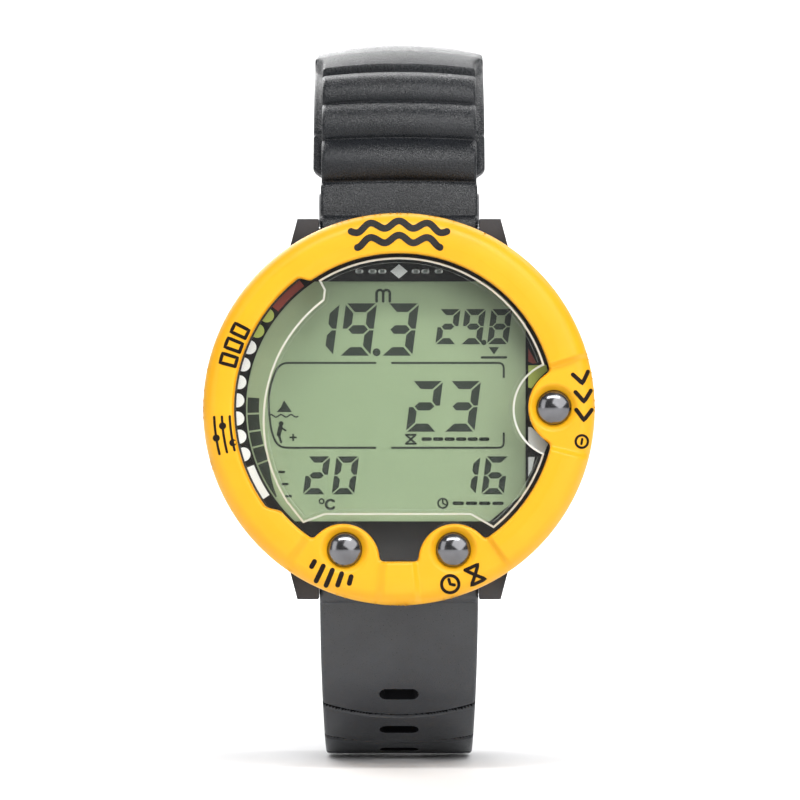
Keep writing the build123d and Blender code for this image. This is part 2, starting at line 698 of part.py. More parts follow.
with BuildPart() as strap_upper:
    with BuildSketch(Plane.YZ):
        with BuildLine() as upper_line:
            strap_line(UPPER_BEND, BUCKLE_PIN_Z, 1)
        trace(upper_line.edges(), STRAP_THICKNESS)
        with Locations((PIN_Y, PIN_Z), (REAR_Y, BUCKLE_PIN_Z)):
            Circle(BARREL_RADIUS)
        for rib in range(RIB_COUNT):
            middle = FIRST_GROOVE_ANGLE + (rib + 0.5) * RIB_PITCH_ANGLE
            with Locations(strap_point(UPPER_BEND, middle, 0.9, 1)):
                Circle(3.2)
    extrude(amount=UPPER_HALF_WIDTH, both=True)
    # side flanges behind the ribs, from the first groove to the top of the bend
    with BuildSketch(Plane.YZ):
        with BuildLine() as flange_line:
            ThreePointArc(
                strap_point(UPPER_BEND, FLANGE_START, 0.0, 1),
                strap_point(UPPER_BEND, (FLANGE_START + 90.0) / 2, 0.0, 1),
                strap_point(UPPER_BEND, 90.0, 0.0, 1),
            )
        trace(flange_line.edges(), STRAP_THICKNESS - 0.4)
    extrude(amount=UPPER_FLANGE_HALF_WIDTH, both=True)
    # wider rear stretch that carries the keeper
    with BuildSketch(Plane.YZ):
        with Locations(REAR_CENTRE):
            Circle(REAR_BEND + STRAP_THICKNESS / 2)
            Circle(REAR_BEND - STRAP_THICKNESS / 2, mode=Mode.SUBTRACT)
        with Locations((REAR_CENTRE[0] + 20, REAR_CENTRE[1] + 20)):
            Rectangle(40, 40, mode=Mode.INTERSECT)
    extrude(amount=UPPER_REAR_HALF_WIDTH, both=True)
    with BuildSketch(Plane.YZ.offset(-20)):
        with Locations((PIN_Y, PIN_Z)):
            Circle(PIN_RADIUS + RUNNING_GAP)
        with Locations((REAR_Y, BUCKLE_PIN_Z)):
            Circle(PIN_RADIUS + 0.1)
    extrude(amount=40, mode=Mode.SUBTRACT)
    # narrower barrel between the arms of the buckle frame
    with BuildSketch(Plane.XZ.offset(-REAR_Y - 5)):
        with Locations((0, BUCKLE_PIN_Z)):
            Rectangle(2 * UPPER_REAR_HALF_WIDTH + 1, 7.2)
            Rectangle(2 * UPPER_BARREL_HALF_WIDTH, 7.2, mode=Mode.SUBTRACT)
    extrude(amount=10, mode=Mode.SUBTRACT)
    # notch for the tongue's eye
    with BuildSketch(Plane.XZ.offset(-REAR_Y - 5)):
        with Locations((0, BUCKLE_PIN_Z - 0.4)):
            Rectangle(4.6, 7.2)
    extrude(amount=10, mode=Mode.SUBTRACT)
save(strap_upper, "strap_upper")

with BuildPart() as strap_lower:
    with BuildSketch(Plane.YZ):
        with BuildLine() as lower_line:
            strap_line(LOWER_BEND, LOWER_TIP_Z, -1)
        trace(lower_line.edges(), STRAP_THICKNESS)
        with Locations((PIN_Y, -PIN_Z)):
            Circle(BARREL_RADIUS)
    extrude(amount=LOWER_ROOT_HALF_WIDTH, both=True)
    # the front stretch narrows from the pin, and the rest keeps one width
    with BuildSketch(Plane.XZ.offset(STRAP_FRONT_REACH)):
        with BuildLine():
            Polyline(
                (LOWER_ROOT_HALF_WIDTH, -PIN_Z),
                (LOWER_HALF_WIDTH, LOWER_TAPER_Z),
                (LOWER_HALF_WIDTH, LOWER_TAPER_Z - 10),
                (LOWER_ROOT_HALF_WIDTH + 1, LOWER_TAPER_Z - 10),
                (LOWER_ROOT_HALF_WIDTH + 1, -PIN_Z),
                close=True,
            )
        make_face()
        mirror(about=Plane.YZ)
    extrude(amount=-STRAP_FRONT_REACH, mode=Mode.SUBTRACT)
    with BuildSketch(Plane.XZ):
        with Locations((LOWER_HALF_WIDTH + 2, -30), (-LOWER_HALF_WIDTH - 2, -30)):
            Rectangle(4, 120)
    extrude(amount=-STRAP_FRONT_REACH, mode=Mode.SUBTRACT)
    with BuildSketch(Plane.YZ.offset(-20)):
        with Locations((PIN_Y, -PIN_Z)):
            Circle(PIN_RADIUS + RUNNING_GAP)
    extrude(amount=40, mode=Mode.SUBTRACT)
    path = lower_line.wires()[0]
    for slot in range(SLOT_COUNT):
        reach = FIRST_SLOT + slot * SLOT_PITCH
        place = path.position_at(reach, position_mode=PositionMode.LENGTH)
        heading = path.tangent_at(reach, position_mode=PositionMode.LENGTH)
        across = Plane(origin=(0, place.X, place.Y), x_dir=(1, 0, 0), z_dir=(0, heading.Y, -heading.X))
        with BuildSketch(across.offset(-5)):
            SlotOverall(SLOT_LENGTH, SLOT_WIDTH)
        extrude(amount=10, mode=Mode.SUBTRACT)
    tip = strap_lower.edges().filter_by(Axis.Y).group_by(Axis.Z)[-1]
    fillet(tip, 8.0)
save(strap_lower, "strap_lower")

# ---- buckle: pin, frame and tongue ---------------------------------------------------
with BuildPart() as buckle_pin:
    with BuildSketch(Plane.YZ.offset(-BUCKLE_HALF_WIDTH)):
        with Locations((REAR_Y, BUCKLE_PIN_Z)):
            Circle(PIN_RADIUS + 0.1)
    extrude(amount=2 * BUCKLE_HALF_WIDTH)
save(buckle_pin, "buckle_pin")

ARM_RADIUS = 2.4
with BuildPart() as buckle_frame:
    with BuildSketch(Plane.YZ):
        with BuildLine():
            Polyline(
                (REAR_Y - BUCKLE_THICKNESS / 2, BUCKLE_PIN_Z),
                (REAR_Y - BUCKLE_THICKNESS / 2, BUCKLE_FOOT_Z),
                (REAR_Y + BUCKLE_THICKNESS / 2, BUCKLE_FOOT_Z),
                (REAR_Y + BUCKLE_THICKNESS / 2, BUCKLE_PIN_Z),
                close=True,
            )
        make_face()
        with Locations((REAR_Y, BUCKLE_PIN_Z)):
            Circle(ARM_RADIUS)
    extrude(amount=BUCKLE_HALF_WIDTH, both=True)
    with BuildSketch(Plane.XZ.offset(-REAR_Y - 6)):
        with Locations((0, BUCKLE_FOOT_Z + 3.4 + 12)):
            Rectangle(2 * BUCKLE_INNER, 24)
    extrude(amount=12, mode=Mode.SUBTRACT)
    with BuildSketch(Plane.YZ.offset(-20)):
        with Locations((REAR_Y, BUCKLE_PIN_Z)):
            Circle(PIN_RADIUS + 0.1 + RUNNING_GAP)
    extrude(amount=40, mode=Mode.SUBTRACT)
    corners = buckle_frame.edges().filter_by(Axis.Y).group_by(Axis.Z)[0]
    fillet(corners, 2.6)
save(buckle_frame, "buckle_frame")

TONGUE_THICKNESS = 1.3
with BuildPart() as buckle_tongue:
    with BuildSketch(Plane.YZ):
        with Locations((REAR_Y, BUCKLE_PIN_Z)):
            Circle(2.3)
        with BuildLine():
            Polyline(
                (REAR_Y + 0.9, BUCKLE_PIN_Z),
                (REAR_Y + BUCKLE_THICKNESS / 2 + 0.3, BUCKLE_PIN_Z - 4.0),
                (REAR_Y + BUCKLE_THICKNESS / 2 + 0.3, BUCKLE_FOOT_Z + 0.6),
                (REAR_Y + BUCKLE_THICKNESS / 2 + 0.3 + TONGUE_THICKNESS, BUCKLE_FOOT_Z + 0.6),
                (REAR_Y + BUCKLE_THICKNESS / 2 + 0.3 + TONGUE_THICKNESS, BUCKLE_PIN_Z - 4.0),
                (REAR_Y + 2.2, BUCKLE_PIN_Z),
                close=True,
            )
        make_face()
        with Locations((REAR_Y, BUCKLE_PIN_Z)):
            Circle(PIN_RADIUS + 0.1 + RUNNING_GAP, mode=Mode.SUBTRACT)
    extrude(amount=1.6, both=True)
save(buckle_tongue, "buckle_tongue")

# ---- keeper: loop that slides round the rear bend of the upper strap -------------------
KEEPER_ANGLE, KEEPER_SPREAD = 60.0, 14.0
KEEPER_WALL = 1.4
KEEPER_SIDE_GAP = 0.3
KEEPER_CORNER = 1.2
KEEPER_INNER = REAR_BEND - STRAP_THICKNESS / 2 - 0.4
KEEPER_OUTER = REAR_BEND + STRAP_THICKNESS / 2 + 3.8
with BuildPart() as strap_keeper:
    with BuildSketch(Plane.YZ):
        with BuildLine():
            far = CenterArc(
                REAR_CENTRE,
                KEEPER_OUTER + KEEPER_WALL,
                90 - KEEPER_ANGLE - KEEPER_SPREAD / 2,
                KEEPER_SPREAD,
            )
            near = CenterArc(
                REAR_CENTRE,
                KEEPER_INNER - KEEPER_WALL,
                90 - KEEPER_ANGLE - KEEPER_SPREAD / 2,
                KEEPER_SPREAD,
            )
            Line(far @ 0, near @ 0)
            Line(far @ 1, near @ 1)
        make_face()
    extrude(amount=UPPER_REAR_HALF_WIDTH + KEEPER_SIDE_GAP + KEEPER_WALL, both=True)
    fillet(strap_keeper.edges().filter_by(GeomType.CIRCLE), KEEPER_CORNER)
    with BuildSketch(Plane.YZ):
        with Locations(REAR_CENTRE):
            Circle(KEEPER_OUTER)
            Circle(KEEPER_INNER, mode=Mode.SUBTRACT)
    extrude(amount=UPPER_REAR_HALF_WIDTH + KEEPER_SIDE_GAP, both=True, mode=Mode.SUBTRACT)
save(strap_keeper, "strap_keeper")
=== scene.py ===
"""Looks of a wrist dive computer: camera and light, materials, bezel, prints, display and strap.

Positions are in the row frame. The dial faces -Y, so a "height" is -y, and a place on the dial is
(x, z) from the middle of the bezel. Lengths in this script are in millimetres, and MM turns them
into metres where they reach Blender.
"""
import json
import math

import bmesh
import bpy
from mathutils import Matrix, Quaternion, Vector


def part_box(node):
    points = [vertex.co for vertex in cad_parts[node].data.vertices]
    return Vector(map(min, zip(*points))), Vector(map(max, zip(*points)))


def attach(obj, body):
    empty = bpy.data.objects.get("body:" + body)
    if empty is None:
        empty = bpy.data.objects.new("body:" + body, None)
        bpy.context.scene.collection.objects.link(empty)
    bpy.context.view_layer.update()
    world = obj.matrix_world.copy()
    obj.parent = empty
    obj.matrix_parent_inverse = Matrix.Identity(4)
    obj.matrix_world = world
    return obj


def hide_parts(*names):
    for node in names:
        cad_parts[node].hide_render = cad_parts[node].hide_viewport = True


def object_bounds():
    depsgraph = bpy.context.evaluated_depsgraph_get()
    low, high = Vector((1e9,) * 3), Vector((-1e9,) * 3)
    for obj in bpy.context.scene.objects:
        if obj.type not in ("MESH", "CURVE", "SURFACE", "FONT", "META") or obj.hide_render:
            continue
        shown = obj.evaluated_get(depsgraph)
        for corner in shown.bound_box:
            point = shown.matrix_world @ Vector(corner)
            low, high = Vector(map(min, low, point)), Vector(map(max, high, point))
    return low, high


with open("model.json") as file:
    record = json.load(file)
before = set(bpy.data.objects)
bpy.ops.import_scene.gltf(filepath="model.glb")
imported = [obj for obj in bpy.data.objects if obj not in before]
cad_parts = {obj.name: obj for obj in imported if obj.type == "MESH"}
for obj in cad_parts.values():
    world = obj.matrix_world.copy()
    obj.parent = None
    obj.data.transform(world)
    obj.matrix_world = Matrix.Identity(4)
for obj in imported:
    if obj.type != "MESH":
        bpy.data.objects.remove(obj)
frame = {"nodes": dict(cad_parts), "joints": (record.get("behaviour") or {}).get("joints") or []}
cad_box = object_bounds()
MM = 0.001


def node_box(name):
    """A CAD node's box in millimetres, as (low, high)."""
    low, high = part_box(name)
    return [v / MM for v in low], [v / MM for v in high]


# ------------------------------------------------------------------ sizes read from the frame
bezel_low, bezel_high = node_box("bezel_ring")
BEZEL_R = (bezel_high[0] - bezel_low[0]) / 2 - 0.01
BEZEL_FRONT = -bezel_low[1]
BEZEL_BACK = -bezel_high[1]
CRYSTAL_FRONT = -node_box("crystal")[0][1]
DIAL_FRONT = -node_box("dial_plate")[0][1]
LCD_FRONT = -node_box("lcd_panel")[0][1]
BUTTONS = {}
for title in ("plan", "time", "mode"):
    low, high = node_box("button_" + title)
    BUTTONS[title] = ((low[0] + high[0]) / 2, (low[2] + high[2]) / 2)
BUTTON_R = (high[0] - low[0]) / 2
joint_at = {j["name"]: [v / MM for v in j.get("pos_m") or (0, 0, 0)] for j in frame["joints"]}
PIN_Y, PIN_Z = joint_at["upper_strap_hinge"][1:]
BUCKLE_Y, BUCKLE_Z = joint_at["buckle_frame_hinge"][1:]

# ------------------------------------------------------------------ camera, floor and light
VIEW_DISTANCE = 900.0
VIEW_WIDTH = 138.1
VIEW_MIDDLE_X, VIEW_MIDDLE_Z = 0.17, 1.6
FLOOR_Z = cad_box[0][2] - 0.0005


def link(thing):
    bpy.context.scene.collection.objects.link(thing)
    return thing


def add_camera():
    """Straight on to the dial, far back, as a long lens sees it."""
    data = bpy.data.cameras.new("camera")
    camera = link(bpy.data.objects.new("camera", data))
    camera.location = (VIEW_MIDDLE_X * MM, -(BEZEL_FRONT + VIEW_DISTANCE) * MM, VIEW_MIDDLE_Z * MM)
    camera.rotation_euler = (math.radians(90), 0, 0)
    data.sensor_width = 36.0
    data.lens = data.sensor_width * VIEW_DISTANCE / VIEW_WIDTH
    data.clip_start, data.clip_end = 0.05, 30.0
    bpy.context.scene.camera = camera


def add_softbox(name, place, target, size, power, roll=0.0):
    """A rectangular area lamp that faces a target, in metres, watts and degrees."""
    data = bpy.data.lights.new(name, "AREA")
    data.shape = "RECTANGLE"
    data.size, data.size_y = size
    data.energy = power
    lamp = link(bpy.data.objects.new(name, data))
    lamp.location = place
    facing = (Vector(target) - Vector(place)).to_track_quat("-Z", "Y")
    lamp.rotation_euler = (facing @ Quaternion((0, 0, 1), math.radians(roll))).to_euler()


def add_studio():
    """A pale floor that curves up into a backdrop, soft boxes and a pale sky."""
    half, depth, bend, top = 6.0, 3.0, 1.2, 5.0
    profile = [(-6.0, FLOOR_Z), (depth - bend, FLOOR_Z)]
    for step in range(1, 13):
        turn = math.radians(90 * step / 12)
        profile.append((depth - bend + bend * math.sin(turn), FLOOR_Z + bend * (1 - math.cos(turn))))
    profile.append((depth, top))
    mesh = bpy.data.meshes.new("backdrop")
    points = [(x, y, z) for y, z in profile for x in (-half, half)]
    faces = [(2 * i, 2 * i + 1, 2 * i + 3, 2 * i + 2) for i in range(len(profile) - 1)]
    mesh.from_pydata(points, [], faces)
    for face in mesh.polygons:
        face.use_smooth = True
    backdrop = link(bpy.data.objects.new("backdrop", mesh))
    backdrop.data.materials.append(plain_material("backdrop", (0.86, 0.86, 0.865), 0.85))
    add_softbox("key", (0.66, -1.05, 0.66), (0, 0, 0), (1.5, 1.5), 15.0, roll=45)
    add_softbox("fill", (-1.0, -0.7, 0.35), (0, 0, 0), (0.5, 0.9), 2.2)
    add_softbox("top", (0.0, -0.62, 0.88), (0, 0, 0.03), (1.1, 0.13), 7.5)
    add_softbox("rear", (-0.3, 1.0, 0.6), (0, 0, 0), (0.9, 0.6), 6.0)
    add_softbox("wall", (0.0, 1.2, 1.5), (0, 2.3, -0.05), (3.5, 0.8), 90.0)
    world = bpy.data.worlds.new("sky")
    bpy.context.scene.world = world
    world.use_nodes = True
    world.node_tree.nodes["Background"].inputs["Color"].default_value = (1, 1, 1, 1)
    world.node_tree.nodes["Background"].inputs["Strength"].default_value = 0.15
    bpy.context.scene.view_settings.view_transform = "Standard"


# ------------------------------------------------------------------ materials
def plain_material(name, color, rough):
    """A new material with a Principled shader, and its node tree."""
    made = bpy.data.materials.new(name)
    made.use_nodes = True
    shader = made.node_tree.nodes["Principled BSDF"]
    shader.inputs["Base Color"].default_value = (*color, 1)
    shader.inputs["Roughness"].default_value = rough
    return made


def texture_place(tree):
    return tree.nodes.new("ShaderNodeTexCoord").outputs["Object"]


def add_noise(tree, size_mm, detail=3.0, rough=0.55, stretch=None):
    """A noise texture whose features are about size_mm across."""
    noise = tree.nodes.new("ShaderNodeTexNoise")
    noise.inputs["Scale"].default_value = 1.0 / (size_mm * MM)
    noise.inputs["Detail"].default_value = detail
    noise.inputs["Roughness"].default_value = rough
    source = texture_place(tree)
    if stretch:
        mapping = tree.nodes.new("ShaderNodeMapping")
        mapping.inputs["Scale"].default_value = stretch
        tree.links.new(source, mapping.inputs["Vector"])
        source = mapping.outputs["Vector"]
    tree.links.new(source, noise.inputs["Vector"])
    return noise.outputs["Fac"]


def add_range(tree, value, low, high, to_low, to_high):
    """Maps a value from one range to another."""
    node = tree.nodes.new("ShaderNodeMapRange")
    tree.links.new(value, node.inputs["Value"])
    for key, number in (("From Min", low), ("From Max", high), ("To Min", to_low), ("To Max", to_high)):
        node.inputs[key].default_value = number
    return node.outputs["Result"]


def add_mix(tree, factor, first, second):
    """A colour between two others. Each is a colour or a socket."""
    node = tree.nodes.new("ShaderNodeMix")
    node.data_type = "RGBA"
    tree.links.new(factor, node.inputs["Factor"])
    for socket, value in ((node.inputs["A"], first), (node.inputs["B"], second)):
        sockets = [s for s in node.inputs if s.name == socket.name and s.type == "RGBA"]
        if isinstance(value, bpy.types.NodeSocket):
            tree.links.new(value, sockets[0])
        else:
            sockets[0].default_value = (*value, 1)
    return [s for s in node.outputs if s.type == "RGBA"][0]


def add_bump(tree, height, strength, distance_mm, before=None):
    """A bump from a height socket, on top of an earlier bump."""
    node = tree.nodes.new("ShaderNodeBump")
    node.inputs["Strength"].default_value = strength
    node.inputs["Distance"].default_value = distance_mm * MM
    tree.links.new(height, node.inputs["Height"])
    if before is not None:
        tree.links.new(before, node.inputs["Normal"])
    return node.outputs["Normal"]


def edge_wear(tree, low=0.52, high=0.62):
    """Near 1 on sharp outer edges and 0 elsewhere."""
    geometry = tree.nodes.new("ShaderNodeNewGeometry")
    return add_range(tree, geometry.outputs["Pointiness"], low, high, 0.0, 1.0)


def grained(name, color, pale, rough, grain_mm, bump, wear=None, rough_spread=0.08, specular=0.5):
    """Moulded plastic or rubber: mottled colour, fine grain, uneven gloss and worn edges."""
    made = plain_material(name, color, rough)
    tree = made.node_tree
    shader = tree.nodes["Principled BSDF"]
    cloud = add_range(tree, add_noise(tree, 9.0, 4.0), 0.3, 0.7, 0.0, 1.0)
    tint = add_mix(tree, cloud, color, pale)
    if wear is not None:
        tint = add_mix(tree, edge_wear(tree), tint, wear)
    tree.links.new(tint, shader.inputs["Base Color"])
    fine = add_noise(tree, grain_mm, 2.0, 0.6)
    gloss = add_range(tree, fine, 0.3, 0.7, rough - rough_spread, rough + rough_spread)
    tree.links.new(gloss, shader.inputs["Roughness"])
    normal = add_bump(tree, fine, bump, grain_mm * 0.5)
    tree.links.new(normal, shader.inputs["Normal"])
    shader.inputs["Specular IOR Level"].default_value = specular
    return made


def metal(name, color, rough, brush_mm=0.12, stretch=(1, 1, 0.06), bump=0.12):
    """Turned or drawn metal with fine brush lines."""
    made = plain_material(name, color, rough)
    tree = made.node_tree
    shader = tree.nodes["Principled BSDF"]
    shader.inputs["Metallic"].default_value = 1.0
    lines = add_noise(tree, brush_mm, 2.0, 0.5, stretch)
    tree.links.new(add_range(tree, lines, 0.3, 0.7, rough * 0.75, rough * 1.35), shader.inputs["Roughness"])
    smear = add_range(tree, add_noise(tree, 3.0, 3.0), 0.35, 0.65, 0.0, 1.0)
    darker = tuple(c * 0.86 for c in color)
    tree.links.new(add_mix(tree, smear, color, darker), shader.inputs["Base Color"])
    tree.links.new(add_bump(tree, lines, bump, 0.02), shader.inputs["Normal"])
    return made


def clear(name, tint, rough, ior):
    """Clear plastic or glass that lets the lamps through to what is behind it."""
    made = plain_material(name, tint, rough)
    tree = made.node_tree
    shader = tree.nodes["Principled BSDF"]
    shader.inputs["Transmission Weight"].default_value = 1.0
    shader.inputs["IOR"].default_value = ior
    smudge = add_noise(tree, 6.0, 3.0)
    tree.links.new(add_range(tree, smudge, 0.4, 0.8, rough, rough * 3), shader.inputs["Roughness"])
    path = tree.nodes.new("ShaderNodeLightPath")
    open_shader = tree.nodes.new("ShaderNodeBsdfTransparent")
    open_shader.inputs["Color"].default_value = (0.94, 0.95, 0.94, 1)
    mixer = tree.nodes.new("ShaderNodeMixShader")
    tree.links.new(path.outputs["Is Shadow Ray"], mixer.inputs["Fac"])
    tree.links.new(shader.outputs["BSDF"], mixer.inputs[1])
    tree.links.new(open_shader.outputs["BSDF"], mixer.inputs[2])
    tree.links.new(mixer.outputs["Shader"], tree.nodes["Material Output"].inputs["Surface"])
    return made


add_camera()
add_studio()

YELLOW = grained("bezel_yellow", (0.87, 0.415, 0.006), (0.91, 0.45, 0.010), 0.40, 0.20, 0.18,
                 rough_spread=0.06, specular=0.4)
CASE = grained("case_black", (0.014, 0.015, 0.018), (0.021, 0.022, 0.026), 0.50, 0.22, 0.35,
               wear=(0.05, 0.052, 0.06), specular=0.35)
# The straps are one rubber in two copies: the upper one darker, the lower one painted lighter and glossier
# as painted light, standing in for the sheen the lower strap lacks under these lamps.
STRAP = grained("strap_rubber", (0.006, 0.007, 0.009), (0.012, 0.014, 0.017), 0.28, 0.24, 1.0,
                rough_spread=0.14, specular=0.40)
STRAP_LOWER_LIT = grained("strap_rubber_lower_lit", (0.018, 0.020, 0.025), (0.028, 0.032, 0.038), 0.40, 0.20,
                      0.8, rough_spread=0.14, specular=0.8)
# Near-black and matte: a painted shade for the slot walls and the deep cuts of the lower strap, where
# shadow falls.
SLOT_SHADE = grained("slot_painted_shade", (0.003, 0.003, 0.0035), (0.005, 0.005, 0.006), 0.8, 0.3, 0.3,
                    specular=0.05)
DIAL = grained("dial_black", (0.006, 0.005, 0.005), (0.010, 0.009, 0.009), 0.45, 0.10, 0.10,
               specular=0.25)
SEAL = grained("seal_rubber", (0.015, 0.015, 0.016), (0.025, 0.025, 0.026), 0.35, 0.2, 0.2)
WHITE = grained("white_plastic", (0.78, 0.78, 0.76), (0.84, 0.84, 0.82), 0.5, 0.2, 0.1)
BOARD = grained("board_green", (0.01, 0.10, 0.04), (0.02, 0.16, 0.07), 0.35, 0.5, 0.2)
CHIP = grained("chip_black", (0.02, 0.02, 0.02), (0.035, 0.035, 0.035), 0.6, 0.1, 0.3)
BUCKLE = grained("buckle_black", (0.022, 0.023, 0.026), (0.034, 0.035, 0.038), 0.36, 0.2, 0.2,
                 wear=(0.08, 0.08, 0.09))
PRINT = grained("print_dark", (0.009, 0.005, 0.003), (0.016, 0.010, 0.007), 0.6, 0.12, 0.4, specular=0.15)
EMBLEM = grained("emblem_dark", (0.010, 0.009, 0.008), (0.028, 0.026, 0.024), 0.65, 0.3, 1.0, specular=0.3)
INK = grained("lcd_ink", (0.032, 0.040, 0.032), (0.044, 0.052, 0.042), 0.4, 0.3, 0.05, specular=0.2)
SCALE_WHITE = grained("scale_white", (0.93, 0.94, 0.92), (0.98, 0.98, 0.97), 0.45, 0.2, 0.1)
SCALE_LIME = grained("scale_lime", (0.42, 0.50, 0.10), (0.50, 0.58, 0.14), 0.45, 0.2, 0.1)
SCALE_RED = grained("scale_red", (0.22, 0.030, 0.020), (0.30, 0.045, 0.030), 0.45, 0.2, 0.1)
STEEL = metal("steel", (0.60, 0.60, 0.61), 0.28)
SPRING = metal("spring_steel", (0.52, 0.52, 0.53), 0.30)
BRASS = metal("brass", (0.72, 0.50, 0.20), 0.32)
CHROME = metal("button_chrome", (0.22, 0.22, 0.23), 0.16, 0.10, (1, 1, 1), 0.03)
CRYSTAL = clear("crystal_clear", (0.985, 0.99, 0.985), 0.012, 1.46)
SHIELD = clear("shield_clear", (0.97, 0.985, 0.98), 0.02, 1.50)


def lcd_material():
    """Grey-green reflective display: drifting tone, a faint pixel-like tooth, and painted light on its
    right side.
    """
    made = plain_material("lcd_glass", (0.36, 0.45, 0.29), 0.42)
    tree = made.node_tree
    shader = tree.nodes["Principled BSDF"]
    place = tree.nodes.new("ShaderNodeSeparateXYZ")
    tree.links.new(texture_place(tree), place.inputs["Vector"])
    # Painted light: the colour grows lighter toward the right, to offset the shade that falls there.
    painted_light_right = add_range(tree, place.outputs["X"], 0.004, 0.0235, 0.0, 1.0)
    drift = add_range(tree, add_noise(tree, 30.0, 2.0), 0.3, 0.7, 0.0, 1.0)
    even = add_mix(tree, drift, (0.29, 0.365, 0.217), (0.31, 0.385, 0.23))
    tree.links.new(add_mix(tree, painted_light_right, even, (0.33, 0.395, 0.245)), shader.inputs["Base Color"])
    tooth = add_noise(tree, 0.12, 1.0)
    tree.links.new(add_range(tree, tooth, 0.3, 0.7, 0.38, 0.46), shader.inputs["Roughness"])
    return made


LCD = lcd_material()


def light_the_edges(material, share):
    """Clear plastic gathers light at its walls and chamfers: painted light, a pale diffuse coat on faces
    turned away from the front.
    """
    tree = material.node_tree
    place = tree.nodes.new("ShaderNodeTexCoord")
    parts = tree.nodes.new("ShaderNodeSeparateXYZ")
    tree.links.new(place.outputs["Normal"], parts.inputs["Vector"])
    flat = tree.nodes.new("ShaderNodeMath")
    flat.operation = "ABSOLUTE"
    tree.links.new(parts.outputs["Y"], flat.inputs[0])
    # A pale matte shader on the walls: a painted highlight for light gathered at the edges.
    painted_edge_light = tree.nodes.new("ShaderNodeBsdfPrincipled")
    painted_edge_light.inputs["Base Color"].default_value = (0.90, 0.93, 0.88, 1)
    painted_edge_light.inputs["Roughness"].default_value = 0.25
    painted_edge_light.inputs["Subsurface Weight"].default_value = 0.0
    output = tree.nodes["Material Output"]
    before = output.inputs["Surface"].links[0].from_socket
    mixer = tree.nodes.new("ShaderNodeMixShader")
    tree.links.new(add_range(tree, flat.outputs["Value"], 0.75, 0.97, share, 0.0), mixer.inputs["Fac"])
    tree.links.new(before, mixer.inputs[1])
    tree.links.new(painted_edge_light.outputs["BSDF"], mixer.inputs[2])
    tree.links.new(mixer.outputs["Shader"], output.inputs["Surface"])


light_the_edges(SHIELD, 0.6)

FINISHES = {
    "case_body": CASE, "battery_cover": CASE, "battery_lock_ring": CASE,
    "dial_plate": DIAL, "lcd_panel": LCD, "crystal": CRYSTAL, "display_shield": SHIELD,
    "crystal_gasket": SEAL, "pressure_sensor_seal": SEAL, "battery_cover_o_ring": SEAL,
    "zebra_connector": SEAL, "backlight": WHITE, "module_frame": WHITE,
    "circuit_board": BOARD, "board_components": CHIP, "switch_domes": SPRING,
    "module_screws": STEEL, "pressure_sensor": STEEL, "pressure_port_grille": STEEL,
    "water_contacts": STEEL, "battery": STEEL, "strap_pin_upper": STEEL, "strap_pin_lower": STEEL,
    "buckle_pin": STEEL, "buckle_tongue": STEEL, "buzzer": BRASS,
    "battery_contact_negative": SPRING, "battery_contact_positive": SPRING,
    "buckle_frame": BUCKLE, "strap_keeper": STRAP,
}
for title in BUTTONS:
    FINISHES["button_" + title] = CHROME
    FINISHES["button_" + title + "_seal"] = SEAL
    FINISHES["button_" + title + "_clip"] = SPRING
    FINISHES["button_" + title + "_spring"] = SPRING


def soften(name, width_mm, segments=3, angle=35.0):
    """Rounds a CAD node's sharp edges with a bevel."""
    bevel = frame["nodes"][name].modifiers.new("soft edges", "BEVEL")
    bevel.width = width_mm * MM
    bevel.segments = segments
    bevel.limit_method = "ANGLE"
    bevel.angle_limit = math.radians(angle)
    bevel.harden_normals = False


for name, finish in FINISHES.items():
    slots = frame["nodes"][name].material_slots
    for slot in slots:
        slot.material = finish
for name, width in (("case_body", 0.35), ("buckle_frame", 0.45), ("strap_keeper", 0.3),
                    ("display_shield", 0.12), ("battery_lock_ring", 0.15), ("battery_cover", 0.2),
                    ("buckle_tongue", 0.3)):
    soften(name, width)


def thin_down(name, amount_mm):
    """Draws a CAD node's faces in a hair, so that two clear pieces don't share a face."""
    shrink = frame["nodes"][name].modifiers.new("hairline gap", "DISPLACE")
    shrink.mid_level = 0.0
    shrink.strength = -amount_mm * MM


thin_down("display_shield", 0.02)
thin_down("crystal", 0.01)


# ------------------------------------------------------------------ mesh helpers
def mesh_object(name, points, faces):
    """An object from points in millimetres, with its faces turned outwards."""
    mesh = bpy.data.meshes.new(name)
    mesh.from_pydata([tuple(float(c) * MM for c in p) for p in points], [], faces)
    mesh.validate()
    work = bmesh.new()
    work.from_mesh(mesh)
    bmesh.ops.recalc_face_normals(work, faces=work.faces)
    work.to_mesh(mesh)
    work.free()
    return link(bpy.data.objects.new(name, mesh))


def finish_piece(name, points, faces, material, body, smooth=True):
    """Makes a piece from points in millimetres, and sets it on its body."""
    piece = mesh_object(name, points, faces)
    for face in piece.data.polygons:
        face.use_smooth = smooth
    piece.data.materials.append(material)
    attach(piece, body)
    return piece


def loop_grid(rows, closed_rows=True, closed_columns=True):
    """Faces of a grid of points, each row a closed or open line, rows joined in turn."""
    count, width = len(rows), len(rows[0])
    faces = []
    for r in range(count if closed_rows else count - 1):
        for c in range(width if closed_columns else width - 1):
            a, b = r * width + c, r * width + (c + 1) % width
            d, e = ((r + 1) % count) * width + c, ((r + 1) % count) * width + (c + 1) % width
            faces.append((a, b, e, d))
    return faces


def smooth_step(value, low, high):
    t = min(max((value - low) / (high - low), 0.0), 1.0)
    return t * t * (3 - 2 * t)


def smooth_min(a, b, reach):
    h = max(reach - abs(a - b), 0.0) / reach
    return min(a, b) - h * h * reach / 4


